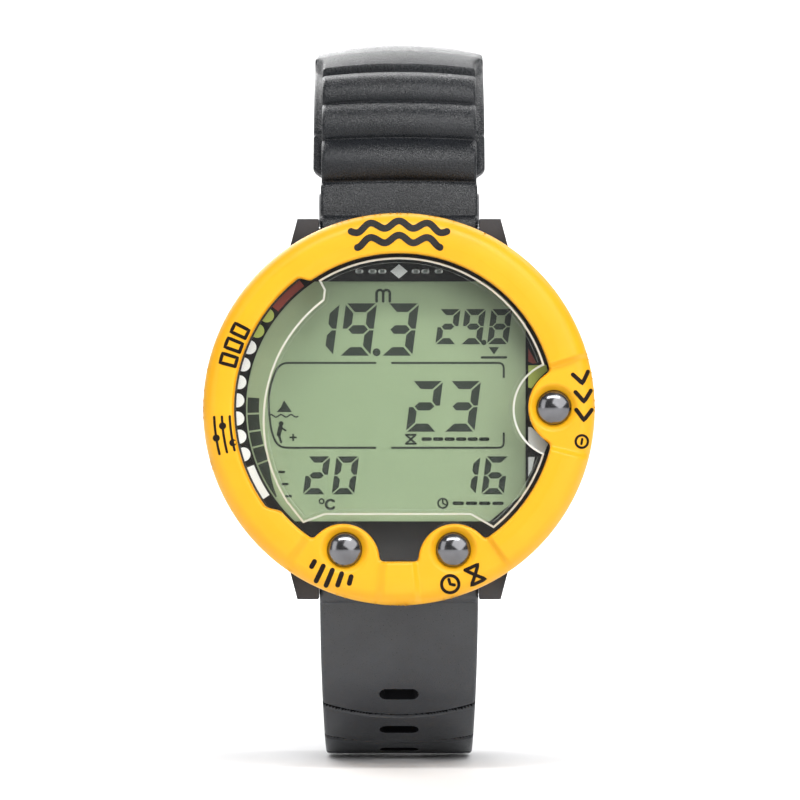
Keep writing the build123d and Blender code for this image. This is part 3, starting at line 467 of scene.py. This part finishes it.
# ------------------------------------------------------------------ bezel ring
BOSSES = {"plan": (-9.7, -26.2, 6.33), "time": (9.7, -26.2, 6.33), "mode": (29.4, 0.3, 7.0)}
OPENING_R, WINDOW_R = 27.0, 28.6
WINDOW_FROM, WINDOW_TO = 127.0, 216.5
OPENING_FLOOR = -26.4
CROWN_FRONT = BEZEL_FRONT - 0.08
PLATEAU_DROP = 1.05
PLATEAUS = ((-14.7, 16.5, 1.6), (-84.6, -54.5, 1.6), (-126.5, -95.4, 2.6))
DISH_R, DISH_DEPTH = 4.3, 0.95
CREST_R = 29.3
INNER_ROUND, OUTER_ROUND = 0.55, 2.6
GROOVE_R, STEP_R, SKIRT_R = 29.0, 31.55, 31.75
HAIR = 0.02


def inside_ring(x, z):
    """Below zero in the ring's material, above zero in its opening, as a distance."""
    r = math.hypot(x, z)
    angle = math.degrees(math.atan2(z, x)) % 360
    window = smooth_step(angle, WINDOW_FROM - 3, WINDOW_FROM + 1)
    window *= 1 - smooth_step(angle, WINDOW_TO - 1, WINDOW_TO + 5)
    distance = OPENING_R + (WINDOW_R - OPENING_R) * window - r
    distance = smooth_min(distance, z - OPENING_FLOOR, 0.6)
    for bx, bz, radius in BOSSES.values():
        distance = smooth_min(distance, math.hypot(x - bx, z - bz) - radius, 0.9)
    return distance


def inner_radius(angle):
    """Where a ray from the middle meets the ring's material."""
    cx, cz = math.cos(angle), math.sin(angle)
    low, high = 17.0, 30.0
    for _ in range(26):
        middle = (low + high) / 2
        if inside_ring(middle * cx, middle * cz) > 0:
            low = middle
        else:
            high = middle
    return (low + high) / 2


def plateau(x, z):
    """How far a point lies in the lowered areas round the buttons, from 0 to 1."""
    angle = math.degrees(math.atan2(z, x))
    share = 0.0
    for start, stop, soft in PLATEAUS:
        share = max(share, smooth_step(angle, start - soft / 2, start + soft)
                    * (1 - smooth_step(angle, stop - soft, stop + soft / 2)))
    return share


def bezel_height(x, z):
    """Height of the ring's front face above a dial place, without its edge rounding."""
    r = math.hypot(x, z)
    fall = max(r - CREST_R, 0.0) / (BEZEL_R - CREST_R)
    height = CROWN_FRONT - 0.9 * fall ** 2.0
    height -= 0.22 * max(CREST_R - r, 0.0) / 2.3
    low = CROWN_FRONT - PLATEAU_DROP - 0.35 * fall ** 1.6 - 0.02 * max(CREST_R - r, 0.0)
    share = plateau(x, z)
    height += (min(low, height) - height) * share
    for bx, bz in BUTTONS.values():
        reach = math.hypot(x - bx, z - bz)
        if reach < DISH_R + 1.2:
            height -= DISH_DEPTH * (1 - smooth_step(reach, BUTTON_R - 0.1, DISH_R))
    return height


def surface_height(x, z):
    """Height of the finished front, edge rounding included."""
    edge = min(-inside_ring(x, z), 50.0)
    height = bezel_height(x, z)
    if 0 <= edge < INNER_ROUND:
        height -= INNER_ROUND - math.sqrt(max(INNER_ROUND ** 2 - (INNER_ROUND - edge) ** 2, 0.0))
    outer = BEZEL_R - math.hypot(x, z)
    if 0 <= outer < OUTER_ROUND:
        height -= OUTER_ROUND - math.sqrt(max(OUTER_ROUND ** 2 - (OUTER_ROUND - outer) ** 2, 0.0))
    return height


def build_bezel():
    turns, painted_light_right = ((1440, 76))
    columns = []
    for i in range(turns):
        angle = 2 * math.pi * i / turns
        cx, cz = math.cos(angle), math.sin(angle)
        inner = inner_radius(angle)
        profile = [(inner, CRYSTAL_FRONT + HAIR), (inner, CRYSTAL_FRONT + 0.7)]
        for k in range(painted_light_right + 1):
            t = k / painted_light_right
            t = t * t * (3 - 2 * t) * 0.55 + t * 0.45
            r = inner + (BEZEL_R - inner) * t
            profile.append((r, surface_height(r * cx, r * cz)))
        rim = profile[-1][1]
        for k in range(1, 7):
            profile.append((BEZEL_R, rim + (BEZEL_BACK + 0.5 - rim) * k / 6))
        profile += [(BEZEL_R - 0.15, BEZEL_BACK + 0.15), (BEZEL_R - 0.5, BEZEL_BACK + HAIR),
                    (SKIRT_R, BEZEL_BACK + HAIR), (STEP_R, BEZEL_BACK + 0.3),
                    (STEP_R, CRYSTAL_FRONT + HAIR), (GROOVE_R, CRYSTAL_FRONT + HAIR)]
        columns.append([(r * cx, -h, r * cz) for r, h in profile])
    points = [p for column in columns for p in column]
    faces = loop_grid(columns)
    ring = finish_piece("bezel_shell", points, faces, YELLOW, "watch")
    for title, (bx, bz) in BUTTONS.items():
        cut_round(ring, bx, bz, BUTTON_R + 0.09, CRYSTAL_FRONT - 1, BEZEL_FRONT + 1)
    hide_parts("bezel_ring")
    return ring


def cut_with(piece, cutter, wall_shade=None):
    """Takes a closed mesh out of a piece, and removes the cutter. The last argument is the material of
    the new walls; the slots use it for a painted shade."""
    if wall_shade is not None:
        cutter.data.materials.append(wall_shade)
    boolean = piece.modifiers.new("cut", "BOOLEAN")
    boolean.operation = "DIFFERENCE"
    boolean.solver = "EXACT"
    if wall_shade is not None:
        boolean.material_mode = "TRANSFER"
    boolean.object = cutter
    bpy.context.view_layer.update()
    evaluated = piece.evaluated_get(bpy.context.evaluated_depsgraph_get())
    mesh = bpy.data.meshes.new_from_object(evaluated)
    piece.modifiers.remove(boolean)
    piece.data = mesh
    bpy.data.objects.remove(cutter)


def prism(name, outline, low, high, place=None):
    """A closed prism for cutting: an outline of (x, z) at heights low and high, or placed by a
    function from (x, z, height) to a point."""
    count = len(outline)
    places = [(x, z, h) for h in (low, high) for x, z in outline]
    points = [place(x, z, h) if place else (x, -h, z) for x, z, h in places]
    faces = [tuple(range(count)), tuple(reversed(range(count, 2 * count)))]
    faces += [(i, i + count, (i + 1) % count + count, (i + 1) % count) for i in range(count)]
    return mesh_object(name, points, faces)


def circle_points(x, z, radius, count=96):
    return [(x + radius * math.cos(2 * math.pi * i / count), z + radius * math.sin(2 * math.pi * i / count))
            for i in range(count)]


def cut_round(piece, x, z, radius, low, high):
    cut_with(piece, prism("cutter", circle_points(x, z, radius), low, high))


build_bezel()


# ------------------------------------------------------------------ prints: strokes and fills
class Print:
    """Flat marks gathered into one piece. Each mark is a thin closed slab on a surface."""

    def __init__(self, height, thick):
        self.height, self.thick = height, thick
        self.points, self.faces = [], []

    def slab(self, ring):
        """A filled convex or star-shaped outline."""
        base = len(self.points)
        middle = (sum(p[0] for p in ring) / len(ring), sum(p[1] for p in ring) / len(ring))
        count = len(ring)
        for lift in (0.0, self.thick):
            for x, z in list(ring) + [middle]:
                self.points.append((x, -(self.height(x, z) + lift), z))
        top = base + count + 1
        for i in range(count):
            n = (i + 1) % count
            self.faces.append((base + i, base + n, base + count))
            self.faces.append((top + n, top + i, top + count))
            self.faces.append((base + i, top + i, top + n, base + n))

    def band(self, left, right):
        """A strip between two lines with the same number of points, divided across so that it
        follows a curved surface."""
        base, count, lanes = len(self.points), len(left), 4
        for lift in (0.0, self.thick):
            for lane in range(lanes + 1):
                for (ax, az), (bx, bz) in zip(left, right):
                    x, z = ax + (bx - ax) * lane / lanes, az + (bz - az) * lane / lanes
                    self.points.append((x, -(self.height(x, z) + lift), z))
        over = count * (lanes + 1)
        end = count - 1
        for lane in range(lanes):
            row = base + lane * count
            for i in range(end):
                low = (row + i, row + count + i, row + count + i + 1, row + i + 1)
                self.faces.append(low)
                self.faces.append(tuple(v + over for v in reversed(low)))
            for i in (0, end):
                self.faces.append((row + i, row + i + over, row + count + i + over, row + count + i))
        for row in (base, base + lanes * count):
            for i in range(end):
                self.faces.append((row + i, row + i + 1, row + i + 1 + over, row + i + over))

    def stroke(self, line, width, caps=True):
        """A line drawn with a round pen."""
        half = width / 2
        left, right = [], []
        for i, (x, z) in enumerate(line):
            ax, az = line[max(i - 1, 0)]
            bx, bz = line[min(i + 1, len(line) - 1)]
            length = math.hypot(bx - ax, bz - az) or 1.0
            nx, nz = -(bz - az) / length * half, (bx - ax) / length * half
            left.append((x + nx, z + nz))
            right.append((x - nx, z - nz))
        self.band(left, right)
        if caps:
            for x, z in (line[0], line[-1]):
                self.slab(circle_points(x, z, half, 20))

    def corner_stroke(self, line, width):
        """Straight strokes joined by round corners."""
        for start, stop in zip(line, line[1:]):
            steps = max(2, int(math.dist(start, stop) / 0.6) + 1)
            self.stroke([(start[0] + (stop[0] - start[0]) * k / (steps - 1),
                          start[1] + (stop[1] - start[1]) * k / (steps - 1)) for k in range(steps)], width)

    def disc(self, x, z, radius):
        self.slab(circle_points(x, z, radius, 40))

    def build(self, name, material, slot, body="watch"):
        return finish_piece(name, self.points, self.faces, material, body, smooth=False)


def arc_points(x, z, radius, start, stop, steps=24):
    return [(x + radius * math.cos(math.radians(start + (stop - start) * k / steps)),
             z + radius * math.sin(math.radians(start + (stop - start) * k / steps)))
            for k in range(steps + 1)]


def along_ring(angle, radius, facing):
    """A function that places a small drawing on the ring. Its (u, v) are across and up, as read
    with the top of the drawing outwards (facing 1) or inwards (facing -1)."""
    def place(u, v):
        r = radius + v * facing
        turn = math.radians(angle) - facing * u / radius
        return (r * math.cos(turn), r * math.sin(turn))
    return place


def draw(mark, place, lines, width):
    """Strokes given in a drawing's own (u, v), finely divided so that they follow the ring."""
    for line in lines:
        fine = []
        for start, stop in zip(line, line[1:]):
            steps = max(1, int(math.dist(start, stop) / 0.35))
            for k in range(steps):
                t = k / steps
                fine.append((start[0] + (stop[0] - start[0]) * t, start[1] + (stop[1] - start[1]) * t))
        fine.append(line[-1])
        mark.stroke([place(u, v) for u, v in fine], width)


PRINT_SINK = 0.06


def print_height(x, z):
    """Where the prints on the ring start, a little under its surface."""
    return surface_height(x, z) - PRINT_SINK


def build_bezel_prints():
    """Wave emblem at twelve o'clock and a pictogram beside each button and setting."""
    emblem = Print(print_height, 0.13)
    for lift, reach in ((1.25, 84), (-1.25, 74)):
        place = along_ring(90.0, 30.7 + lift, 1)
        wave = [(u / 10.0, 0.62 * math.cos(2 * math.pi * (u / 10.0) / 4.9))
                for u in range(-reach, reach + 1, 3)]
        emblem.stroke([place(u, v) for u, v in wave], 1.2)
    emblem.build("bezel_emblem", EMBLEM, "bezel_yellow")

    ink = Print(print_height, 0.12)
    pen = 0.72
    circle = [(math.cos(a / 14 * math.pi), math.sin(a / 14 * math.pi)) for a in range(29)]
    # ring with a bar, and three arrows, beside the right-hand button
    place = along_ring(-10.0, 32.1, 1)
    draw(ink, place, [[(1.08 * u, 1.08 * v) for u, v in circle], [(-0.42, 0), (0.42, 0)]], 0.42)
    place = along_ring(3.4, 32.0, 1)
    for u in (-3.5, -0.3, 2.9):
        draw(ink, place, [[(u - 0.9, -1.35), (u + 0.9, 0.0), (u - 0.9, 1.35)]], pen)
    # bars of a dive plan at lower left
    place = along_ring(-112.5, 31.5, -1)
    for k, drop in enumerate((1.0, 2.9, 2.9, 2.1, 1.2)):
        u = -3.6 + 1.8 * k
        draw(ink, place, [[(u, 1.4), (u, 1.4 - drop)]], 0.85)
    # clock and hourglass at lower right
    place = along_ring(-69.5, 31.5, -1)
    draw(ink, place, [[(1.5 * u - 2.3, 1.5 * v) for u, v in circle],
                      [(-2.3, 0.85), (-2.3, 0.0), (-1.65, -0.35)]], 0.55)
    draw(ink, place, [[(1.0, 1.45), (3.6, 1.45), (1.0, -1.45), (3.6, -1.45), (1.0, 1.45)]], 0.6)
    # sliders at left
    place = along_ring(188.2, 30.6, 1)
    for v, u in ((-1.35, -1.7), (0.0, 1.5), (1.35, -0.4)):
        draw(ink, place, [[(-3.1, v), (3.1, v)]], 0.42)
        ink.disc(*place(u, v), 0.62)
    # row of log cards at upper left
    place = along_ring(158.8, 30.6, 1)
    for u in (-3.5, -0.8, 1.9):
        draw(ink, place, [[(u, -1.35), (u + 1.6, -1.35), (u + 1.6, 1.35), (u, 1.35), (u, -1.35)]], 0.6)
    ink.build("bezel_pictograms", PRINT, "bezel_yellow")


build_bezel_prints()


# ------------------------------------------------------------------ display
SLANT = 0.13
SEGMENTS = {
    "0": "abcdef", "1": "bc", "2": "abged", "3": "abgcd", "6": "afgedc", "8": "abcdefg", "9": "abcdfg",
}


def digit(ink, char, x, z, width, height, bar):
    """A slanted seven-segment digit with its lower left corner at (x, z)."""
    gap = bar * 0.16
    half = height / 2
    shapes = {
        "a": [(gap, height), (width - gap, height), (width - bar - gap, height - bar),
              (bar + gap, height - bar)],
        "d": [(gap, 0), (width - gap, 0), (width - bar - gap, bar), (bar + gap, bar)],
        "g": [(bar * 0.5 + gap, half), (bar + gap, half + bar / 2), (width - bar - gap, half + bar / 2),
              (width - bar * 0.5 - gap, half), (width - bar - gap, half - bar / 2),
              (bar + gap, half - bar / 2)],
        "b": [(width, height - gap), (width, half + gap * 0.6), (width - bar * 0.5, half + gap * 0.6),
              (width - bar, half + bar / 2 + gap), (width - bar, height - bar - gap)],
        "c": [(width, gap), (width, half - gap * 0.6), (width - bar * 0.5, half - gap * 0.6),
              (width - bar, half - bar / 2 - gap), (width - bar, bar + gap)],
        "f": [(0, height - gap), (0, half + gap * 0.6), (bar * 0.5, half + gap * 0.6),
              (bar, half + bar / 2 + gap), (bar, height - bar - gap)],
        "e": [(0, gap), (0, half - gap * 0.6), (bar * 0.5, half - gap * 0.6),
              (bar, half - bar / 2 - gap), (bar, bar + gap)],
    }
    for key in SEGMENTS[char]:
        ink.slab([(x + u + SLANT * v, z + v) for u, v in shapes[key]])


def rounded_line(ink, corners, radius, width):
    """A line through corners with rounded turns."""
    line = [corners[0]]
    for before, here, after in zip(corners, corners[1:], corners[2:]):
        into = Vector((here[0] - before[0], here[1] - before[1])).normalized()
        away = Vector((after[0] - here[0], after[1] - here[1])).normalized()
        start = Vector(here) - into * radius
        stop = Vector(here) + away * radius
        for k in range(9):
            t = k / 8
            point = start * (1 - t) ** 2 + Vector(here) * 2 * t * (1 - t) + stop * t ** 2
            line.append((point.x, point.y))
    line.append(corners[-1])
    ink.stroke(line, width)


SCALE_EDGE = 28.6
BAR_EDGE = 26.35
INK_LIFT, INK_THICK = 0.01, 0.03
DIGITS = (
    ("1", -14.4, 9.3, 2.9, 9.1, 1.5), ("9", -10.4, 9.3, 5.4, 9.1, 1.5), ("3", -3.1, 9.3, 5.4, 9.1, 1.5),
    ("2", 6.3, 11.3, 3.6, 6.1, 1.05), ("9", 10.7, 11.3, 3.6, 6.1, 1.05), ("8", 15.3, 11.3, 3.6, 6.1, 1.05),
    ("2", 1.2, -3.9, 5.3, 8.8, 1.4), ("3", 7.8, -3.9, 5.3, 8.8, 1.4),
    ("2", -16.7, -14.8, 3.9, 6.6, 1.08), ("0", -11.7, -14.8, 3.9, 6.6, 1.08),
    ("1", 11.7, -14.8, 1.6, 6.6, 1.08), ("6", 14.3, -14.8, 3.9, 6.6, 1.08),
)


def on_display(x, z):
    return LCD_FRONT + INK_LIFT


def on_dial(x, z):
    return DIAL_FRONT + INK_LIFT / 2


def build_display():
    """Digits, frame lines, symbols and the bar scale of the display, and the printed dial scale."""
    ink = Print(on_display, INK_THICK)
    # main reading, maximum, big middle reading, and the two lower ones
    for char, x, z, width, height, bar in DIGITS:
        digit(ink, char, x, z, width, height, bar)
    ink.disc(-3.9, 9.9, 0.68)
    ink.disc(14.75, 11.6, 0.46)
    # unit signs
    for u in (-3.9, -2.75, -1.6):
        ink.corner_stroke([(u, 18.75), (u, 20.2)], 0.46)
    for u in (-3.9, -2.75):
        ink.stroke(arc_points(u + 0.575, 20.15, 0.575, 180, 0, 10), 0.44)
    ink.stroke(arc_points(-13.45, -16.0, 0.4, 0, 360, 16), 0.26)
    ink.stroke(arc_points(-11.9, -16.55, 0.78, 45, 320, 16), 0.44)
    # symbols in place of words: deepest point, hourglass with a bar, clock with a bar
    ink.corner_stroke([(14.4, 9.0), (18.6, 9.0)], 0.42)
    ink.slab([(15.6, 10.8), (17.4, 10.8), (16.5, 9.5)])
    ink.corner_stroke([(1.2, -4.45), (2.9, -4.45), (1.2, -6.0), (2.9, -6.0), (1.2, -4.45)], 0.34)
    for k in range(6):
        ink.corner_stroke([(4.2 + 2.0 * k, -5.2), (5.4 + 2.0 * k, -5.2)], 0.62)
    ink.stroke(arc_points(7.6, -16.35, 0.82, 0, 360, 20), 0.32)
    ink.corner_stroke([(7.6, -15.8), (7.6, -16.35), (8.05, -16.6)], 0.28)
    for k in range(4):
        ink.corner_stroke([(9.6 + 2.3 * k, -16.35), (11.0 + 2.3 * k, -16.35)], 0.62)
    # frame round the middle reading
    pen = 0.36
    rounded_line(ink, [(-4.1, 8.05), (-20.8, 8.05), (-22.4, 4.2), (-22.7, 0.6), (-22.2, -4.0),
                       (-21.0, -6.7), (-4.1, -6.7)], 1.6, pen)
    rounded_line(ink, [(-1.2, 8.05), (18.2, 8.05), (18.2, 5.6)], 1.0, pen)
    rounded_line(ink, [(18.2, -4.2), (18.2, -6.7), (-1.2, -6.7)], 1.0, pen)
    # boat, waves and a swimmer with a plus sign
    ink.slab([(-20.0, 1.55), (-18.6, -0.5), (-20.9, -0.5)])
    ink.slab([(-20.3, 0.6), (-21.3, -0.5), (-20.3, -0.5)])
    ink.stroke([(u / 10, -1.15 + 0.22 * math.sin(u / 10 * 3.6)) for u in range(-224, -174, 2)], 0.26)
    ink.disc(-20.5, -2.5, 0.42)
    ink.corner_stroke([(-20.6, -3.1), (-20.9, -4.4)], 0.75)
    ink.corner_stroke([(-20.9, -4.4), (-20.5, -5.7)], 0.42)
    ink.corner_stroke([(-20.5, -3.2), (-19.7, -3.7)], 0.3)
    ink.corner_stroke([(-18.9, -4.9), (-17.9, -4.9)], 0.3)
    ink.corner_stroke([(-18.4, -4.4), (-18.4, -5.4)], 0.3)
    # bar scale down the left edge
    for start, stop in ((175.5, 181.4), (182.1, 188.2), (188.9, 194.4), (195.1, 200.9)):
        ink.band(arc_points(0, 0, 24.35, start, stop, 8), arc_points(0, 0, BAR_EDGE, start, stop, 8))
    tail = 14
    outer_line = arc_points(0, 0, BAR_EDGE, 201.6, 215.5, tail)
    inner_line = [(x * (24.4 + 1.7 * k / tail) / BAR_EDGE, z * (24.4 + 1.7 * k / tail) / BAR_EDGE)
                  for k, (x, z) in enumerate(outer_line)]
    ink.band(inner_line, outer_line)
    for k in range(3):
        ink.corner_stroke([(-20.8 + 0.6 * k, -10.9 - 2.1 * k), (-20.0 + 0.6 * k, -10.9 - 2.1 * k)], 0.4)
    ink.build("lcd_characters", INK, "lcd_glass")

    white, lime, red = (Print(on_dial, INK_THICK) for _ in range(3))
    for k in range(9):
        angle = math.radians(144.6 + 6.45 * k)
        spot = lime if k < 2 else white
        outline = circle_points(28.15 * math.cos(angle), 28.15 * math.sin(angle), 1.22, 40)
        shares = [min(1.0, SCALE_EDGE / math.hypot(x, z)) for x, z in outline]
        spot.slab([(x * share, z * share) for (x, z), share in zip(outline, shares)])
    white.band(arc_points(0, 0, 27.0, 201.0, 213.5), arc_points(0, 0, SCALE_EDGE, 201.0, 213.5))
    red.band(arc_points(0, 0, 27.0, 127.6, 141.0), arc_points(0, 0, SCALE_EDGE, 127.6, 141.0))
    # short marks between the display and the right-hand boss
    red.slab([(22.45, 10.6), (23.9, 8.0), (23.3, 7.9), (22.45, 8.3)])
    lime.slab([(22.45, 7.6), (25.6, 7.7), (25.8, 6.7), (24.3, 5.3), (23.0, 3.6), (22.45, 3.8)])
    white.slab([(22.45, -3.1), (23.0, -3.1), (25.9, -6.0), (25.2, -7.7), (23.8, -7.3), (22.45, -5.6)])
    white.slab([(22.45, -8.3), (23.6, -8.3), (23.1, -10.5), (22.45, -11.7)])
    # dashes and a diamond on the black strip at twelve o'clock
    white.slab([(-1.5, 23.95), (0.0, 25.2), (1.5, 23.95), (0.0, 22.7)])
    for x in (-6.9, -4.6, -2.9, 2.9, 4.6, 6.9):
        white.corner_stroke([(x - 0.35, 23.95), (x + 0.35, 23.95)], 0.7)
    white.build("dial_scale_white", SCALE_WHITE, "dial_black")
    lime.build("dial_scale_lime", SCALE_LIME, "dial_black")
    red.build("dial_scale_red", SCALE_RED, "dial_black")


build_display()


# ------------------------------------------------------------------ strap
STRAP_T = 3.2
START_LEAN = 8.0
UPPER_BEND, LOWER_BEND = 39.2, 34.5
RIB_PITCH, FIRST_GROOVE, RIBS = 12.0, 20.5, 3
RIBS_END = FIRST_GROOVE + RIBS * RIB_PITCH
RIB_HEIGHT, WEB_DROP = 2.35, 0.25
BARREL = 2.75
CORNER = 0.6
DARK_DENT = 0.85


def strap_path(bend, tip_z, end):
    """Middle line of a strap half as rows of (distance, y, z, lean). Lean is from straight up."""
    start = math.radians(START_LEAN)
    apex_y = PIN_Y + bend * math.cos(start)
    apex_z = PIN_Z + bend * (1 - math.sin(start))
    rear = BUCKLE_Y - apex_y
    first_length = bend * (math.pi / 2 - start)
    second_length = rear * math.pi / 2
    total = first_length + second_length + apex_z - rear - end * tip_z
    rows = []
    count = int((total + BARREL) / (0.125))
    for i in range(count + 1):
        s = -BARREL + (total + BARREL) * i / count
        if s < 0:
            lean = start
            y, z = PIN_Y + s * math.sin(start), PIN_Z + s * math.cos(start)
        elif s < first_length:
            lean = start + s / bend
            y = PIN_Y + bend * (math.cos(start) - math.cos(lean))
            z = PIN_Z + bend * (math.sin(lean) - math.sin(start))
        elif s < first_length + second_length:
            turn = (s - first_length) / rear
            lean = math.pi / 2 + turn
            y, z = apex_y + rear * math.sin(turn), apex_z - rear * (1 - math.cos(turn))
        else:
            lean = math.pi
            y, z = BUCKLE_Y, apex_z - rear - (s - first_length - second_length)
        rows.append((s, y, end * z, lean))
    return rows, total


def barrel_half(distance):
    """Half thickness of a barrel of the strap, by distance from its middle."""
    return math.sqrt(max(BARREL ** 2 - distance ** 2, 0.0025))


def strap_section(half, flange, outer, inner):
    """Closed outline of the strap's cross-section as (x, lift), with rounded corners. The flange is
    the half width of the part behind the middle line."""
    corner = min(CORNER, (outer + inner) / 2 * 0.9)
    step = min(0.5, flange - half)
    split = min(0.15, outer - corner)
    low = min(corner, (split + inner) / 2 * 0.9)
    sixths = [a * math.pi / 12 for a in range(7)]
    quarters = [a * math.pi / 8 for a in range(5)]
    right = [(half - corner + corner * math.sin(a), outer - corner + corner * math.cos(a)) for a in sixths]
    right.append((half, split))
    right += [(flange - step + step * math.sin(a), split - step + step * math.cos(a)) for a in quarters]
    right += [(flange - low + low * math.cos(a), -inner + low - low * math.sin(a)) for a in quarters]
    left = [(-x, lift) for x, lift in reversed(right)]
    under = [(right[-1][0] * (1 - k / 12), -inner) for k in range(1, 24)]
    over = [(left[-1][0] * (1 - k / 24), outer) for k in range(1, 48)]
    return right + under + left + over


def strap_mesh(name, rows, end, shape, body):
    """A closed strap swept along its rows. shape(s, lean) gives the half width, flange, outer and
    inner thickness, how far the sides fall back from the middle, and the depth of cuts by x. The
    faces of a deep cut get the near-black material, a painted shade."""
    rings, deep = [], []
    for s, y, z, lean in rows:
        half, flange, outer, inner, fall, dent = shape(s, math.degrees(lean))
        ring = []
        for x, lift in strap_section(half, flange, outer, inner):
            lift -= fall * (x / flange) ** 2 + (dent(x) if lift > outer - 0.5 else 0.0)
            ring.append((x, y - lift * math.cos(lean), z + end * lift * math.sin(lean)))
            deep.append(dent(x) > DARK_DENT and lift > outer - 1.8)
        rings.append(ring)
    points = [p for ring in rings for p in ring]
    faces = loop_grid(rings, closed_rows=False)
    width = len(rings[0])
    faces.append(tuple(reversed(range(width))))
    faces.append(tuple(range(len(points) - width, len(points))))
    # The lower strap takes the lighter copy of the rubber: painted light.
    rubber = STRAP if end > 0 else STRAP_LOWER_LIT
    strap = finish_piece(name, points, faces, rubber, body)
    # Second slot: the near-black material, painted shade for faces in the deep cuts.
    strap.data.materials.append(SLOT_SHADE)
    for face in strap.data.polygons:
        if any(deep[i] for i in face.vertices):
            face.material_index = 1
    return strap


def uncut(x):
    return 0.0


def rib_lift(lean):
    """Height of the ribs above the web at a lean in degrees."""
    rib = (lean - FIRST_GROOVE) / RIB_PITCH
    if 0 <= rib <= RIBS:
        phase = rib - math.floor(rib)
        return RIB_HEIGHT * max(math.sin(math.pi * phase ** 0.92), 0.0) ** 0.62 - WEB_DROP
    rise = smooth_step(lean, RIBS_END, 58.2)
    band = rise * (1 - smooth_step(lean, 66.3, 67.2))
    rim = smooth_step(lean, 67.5, 68.3) * (1 - smooth_step(lean, 72.0, 84.0))
    if lean > RIBS_END:
        return -WEB_DROP * (1 - rise) + 1.35 * band + 0.75 * rim
    return -WEB_DROP * smooth_step(lean, FIRST_GROOVE - 1.2, FIRST_GROOVE)


def build_upper_strap():
    rows, total = strap_path(UPPER_BEND, BUCKLE_Z - BARREL, 1)

    def shape(s, lean):
        back = total - s
        half = 13.85 - 0.15 * smooth_step(lean, 19, 21) + 1.5 * smooth_step(lean, 61.0, 69.0)
        half -= 1.4 * smooth_step(lean, 90, 97)
        flange = half + 0.02
        if lean < 69:
            side = math.sqrt(smooth_step(lean, 23.4, 26.0))
            side *= 1 - 0.3 * math.exp(-((lean - 36.6) / 0.5) ** 2)
            flange = max(flange, 13.72 + 1.5 * side)
        if back < 2 * BARREL + 2:
            half = 13.25
            flange = half + 0.02
        outer = inner = STRAP_T / 2
        if s < BARREL:
            outer = inner = max(barrel_half(s), STRAP_T / 2 if s > 0 else 0)
        elif back < 2 * BARREL:
            outer = inner = max(barrel_half(BARREL - back), STRAP_T / 2 if back > BARREL else 0)
        fall = 1.0 * smooth_step(lean, 12, 24) + 1.0 * smooth_step(lean, 44, 84)
        fall *= 1 - smooth_step(lean, 92, 140)
        return half, flange, outer + rib_lift(lean), inner, fall, uncut

    strap = strap_mesh("upper_strap_rubber", rows, 1, shape, "upper_strap")
    notch = [(-2.3, BUCKLE_Z - 4.0), (2.3, BUCKLE_Z - 4.0), (2.3, BUCKLE_Z + 3.2), (-2.3, BUCKLE_Z + 3.2)]
    cut_with(strap, prism("notch", notch, -BUCKLE_Y - 5, -BUCKLE_Y + 5))
    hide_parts("strap_upper")


FIRST_SLOT, SLOT_PITCH, SLOT_COUNT = 20.2, 10.0, 11
SLOT_HALF, SLOT_R = 3.5, 1.3
CUT_DEPTH, CUT_WIDTH, CUT_SAG = 1.1, 0.32, 3.2
TIP_R = 8.0


def build_lower_strap():
    tip_z = node_box("strap_lower")[1][2]
    rows, total = strap_path(LOWER_BEND, tip_z, -1)

    def shape(s, lean):
        back = total - s
        half = 13.95 - 0.7 * smooth_step(s, 0, 45)
        if back < TIP_R:
            half -= TIP_R - math.sqrt(max(TIP_R ** 2 - (TIP_R - back) ** 2, 0.0))
        outer = inner = STRAP_T / 2
        if s < BARREL:
            outer = inner = max(barrel_half(s), STRAP_T / 2 if s > 0 else 0)

        def dent(x):
            sag = CUT_SAG * (1 - (x / half) ** 2)
            middle = FIRST_SLOT + 0.5 * SLOT_PITCH - 2.5 + sag
            nearest = min(max(round((s - middle) / SLOT_PITCH), 0), SLOT_COUNT - 2)
            gap = (s - middle - nearest * SLOT_PITCH) / CUT_WIDTH
            return CUT_DEPTH * math.exp(-gap * gap) if abs(gap) < 4 else 0.0
        return half, half + 0.02, outer, inner, 0.0, dent

    strap = strap_mesh("lower_strap_rubber", rows, -1, shape, "lower_strap")
    for k in range(SLOT_COUNT):
        s = FIRST_SLOT + k * SLOT_PITCH
        _, y, z, lean = min(rows, key=lambda row: abs(row[0] - s))
        outline = arc_points(SLOT_HALF - SLOT_R, 0, SLOT_R, -90, 90, 16)
        outline += arc_points(-SLOT_HALF + SLOT_R, 0, SLOT_R, 90, 270, 16)
        along = (math.sin(lean), -math.cos(lean))
        out = (-math.cos(lean), -math.sin(lean))

        def place(u, v, h):
            return u, y + along[0] * v + out[0] * h, z + along[1] * v + out[1] * h
        # The slot walls take the near-black material: painted shade inside the slots.
        cut_with(strap, prism("slot", outline, -4, 4, place), SLOT_SHADE)
    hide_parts("strap_lower")


build_upper_strap()
build_lower_strap()
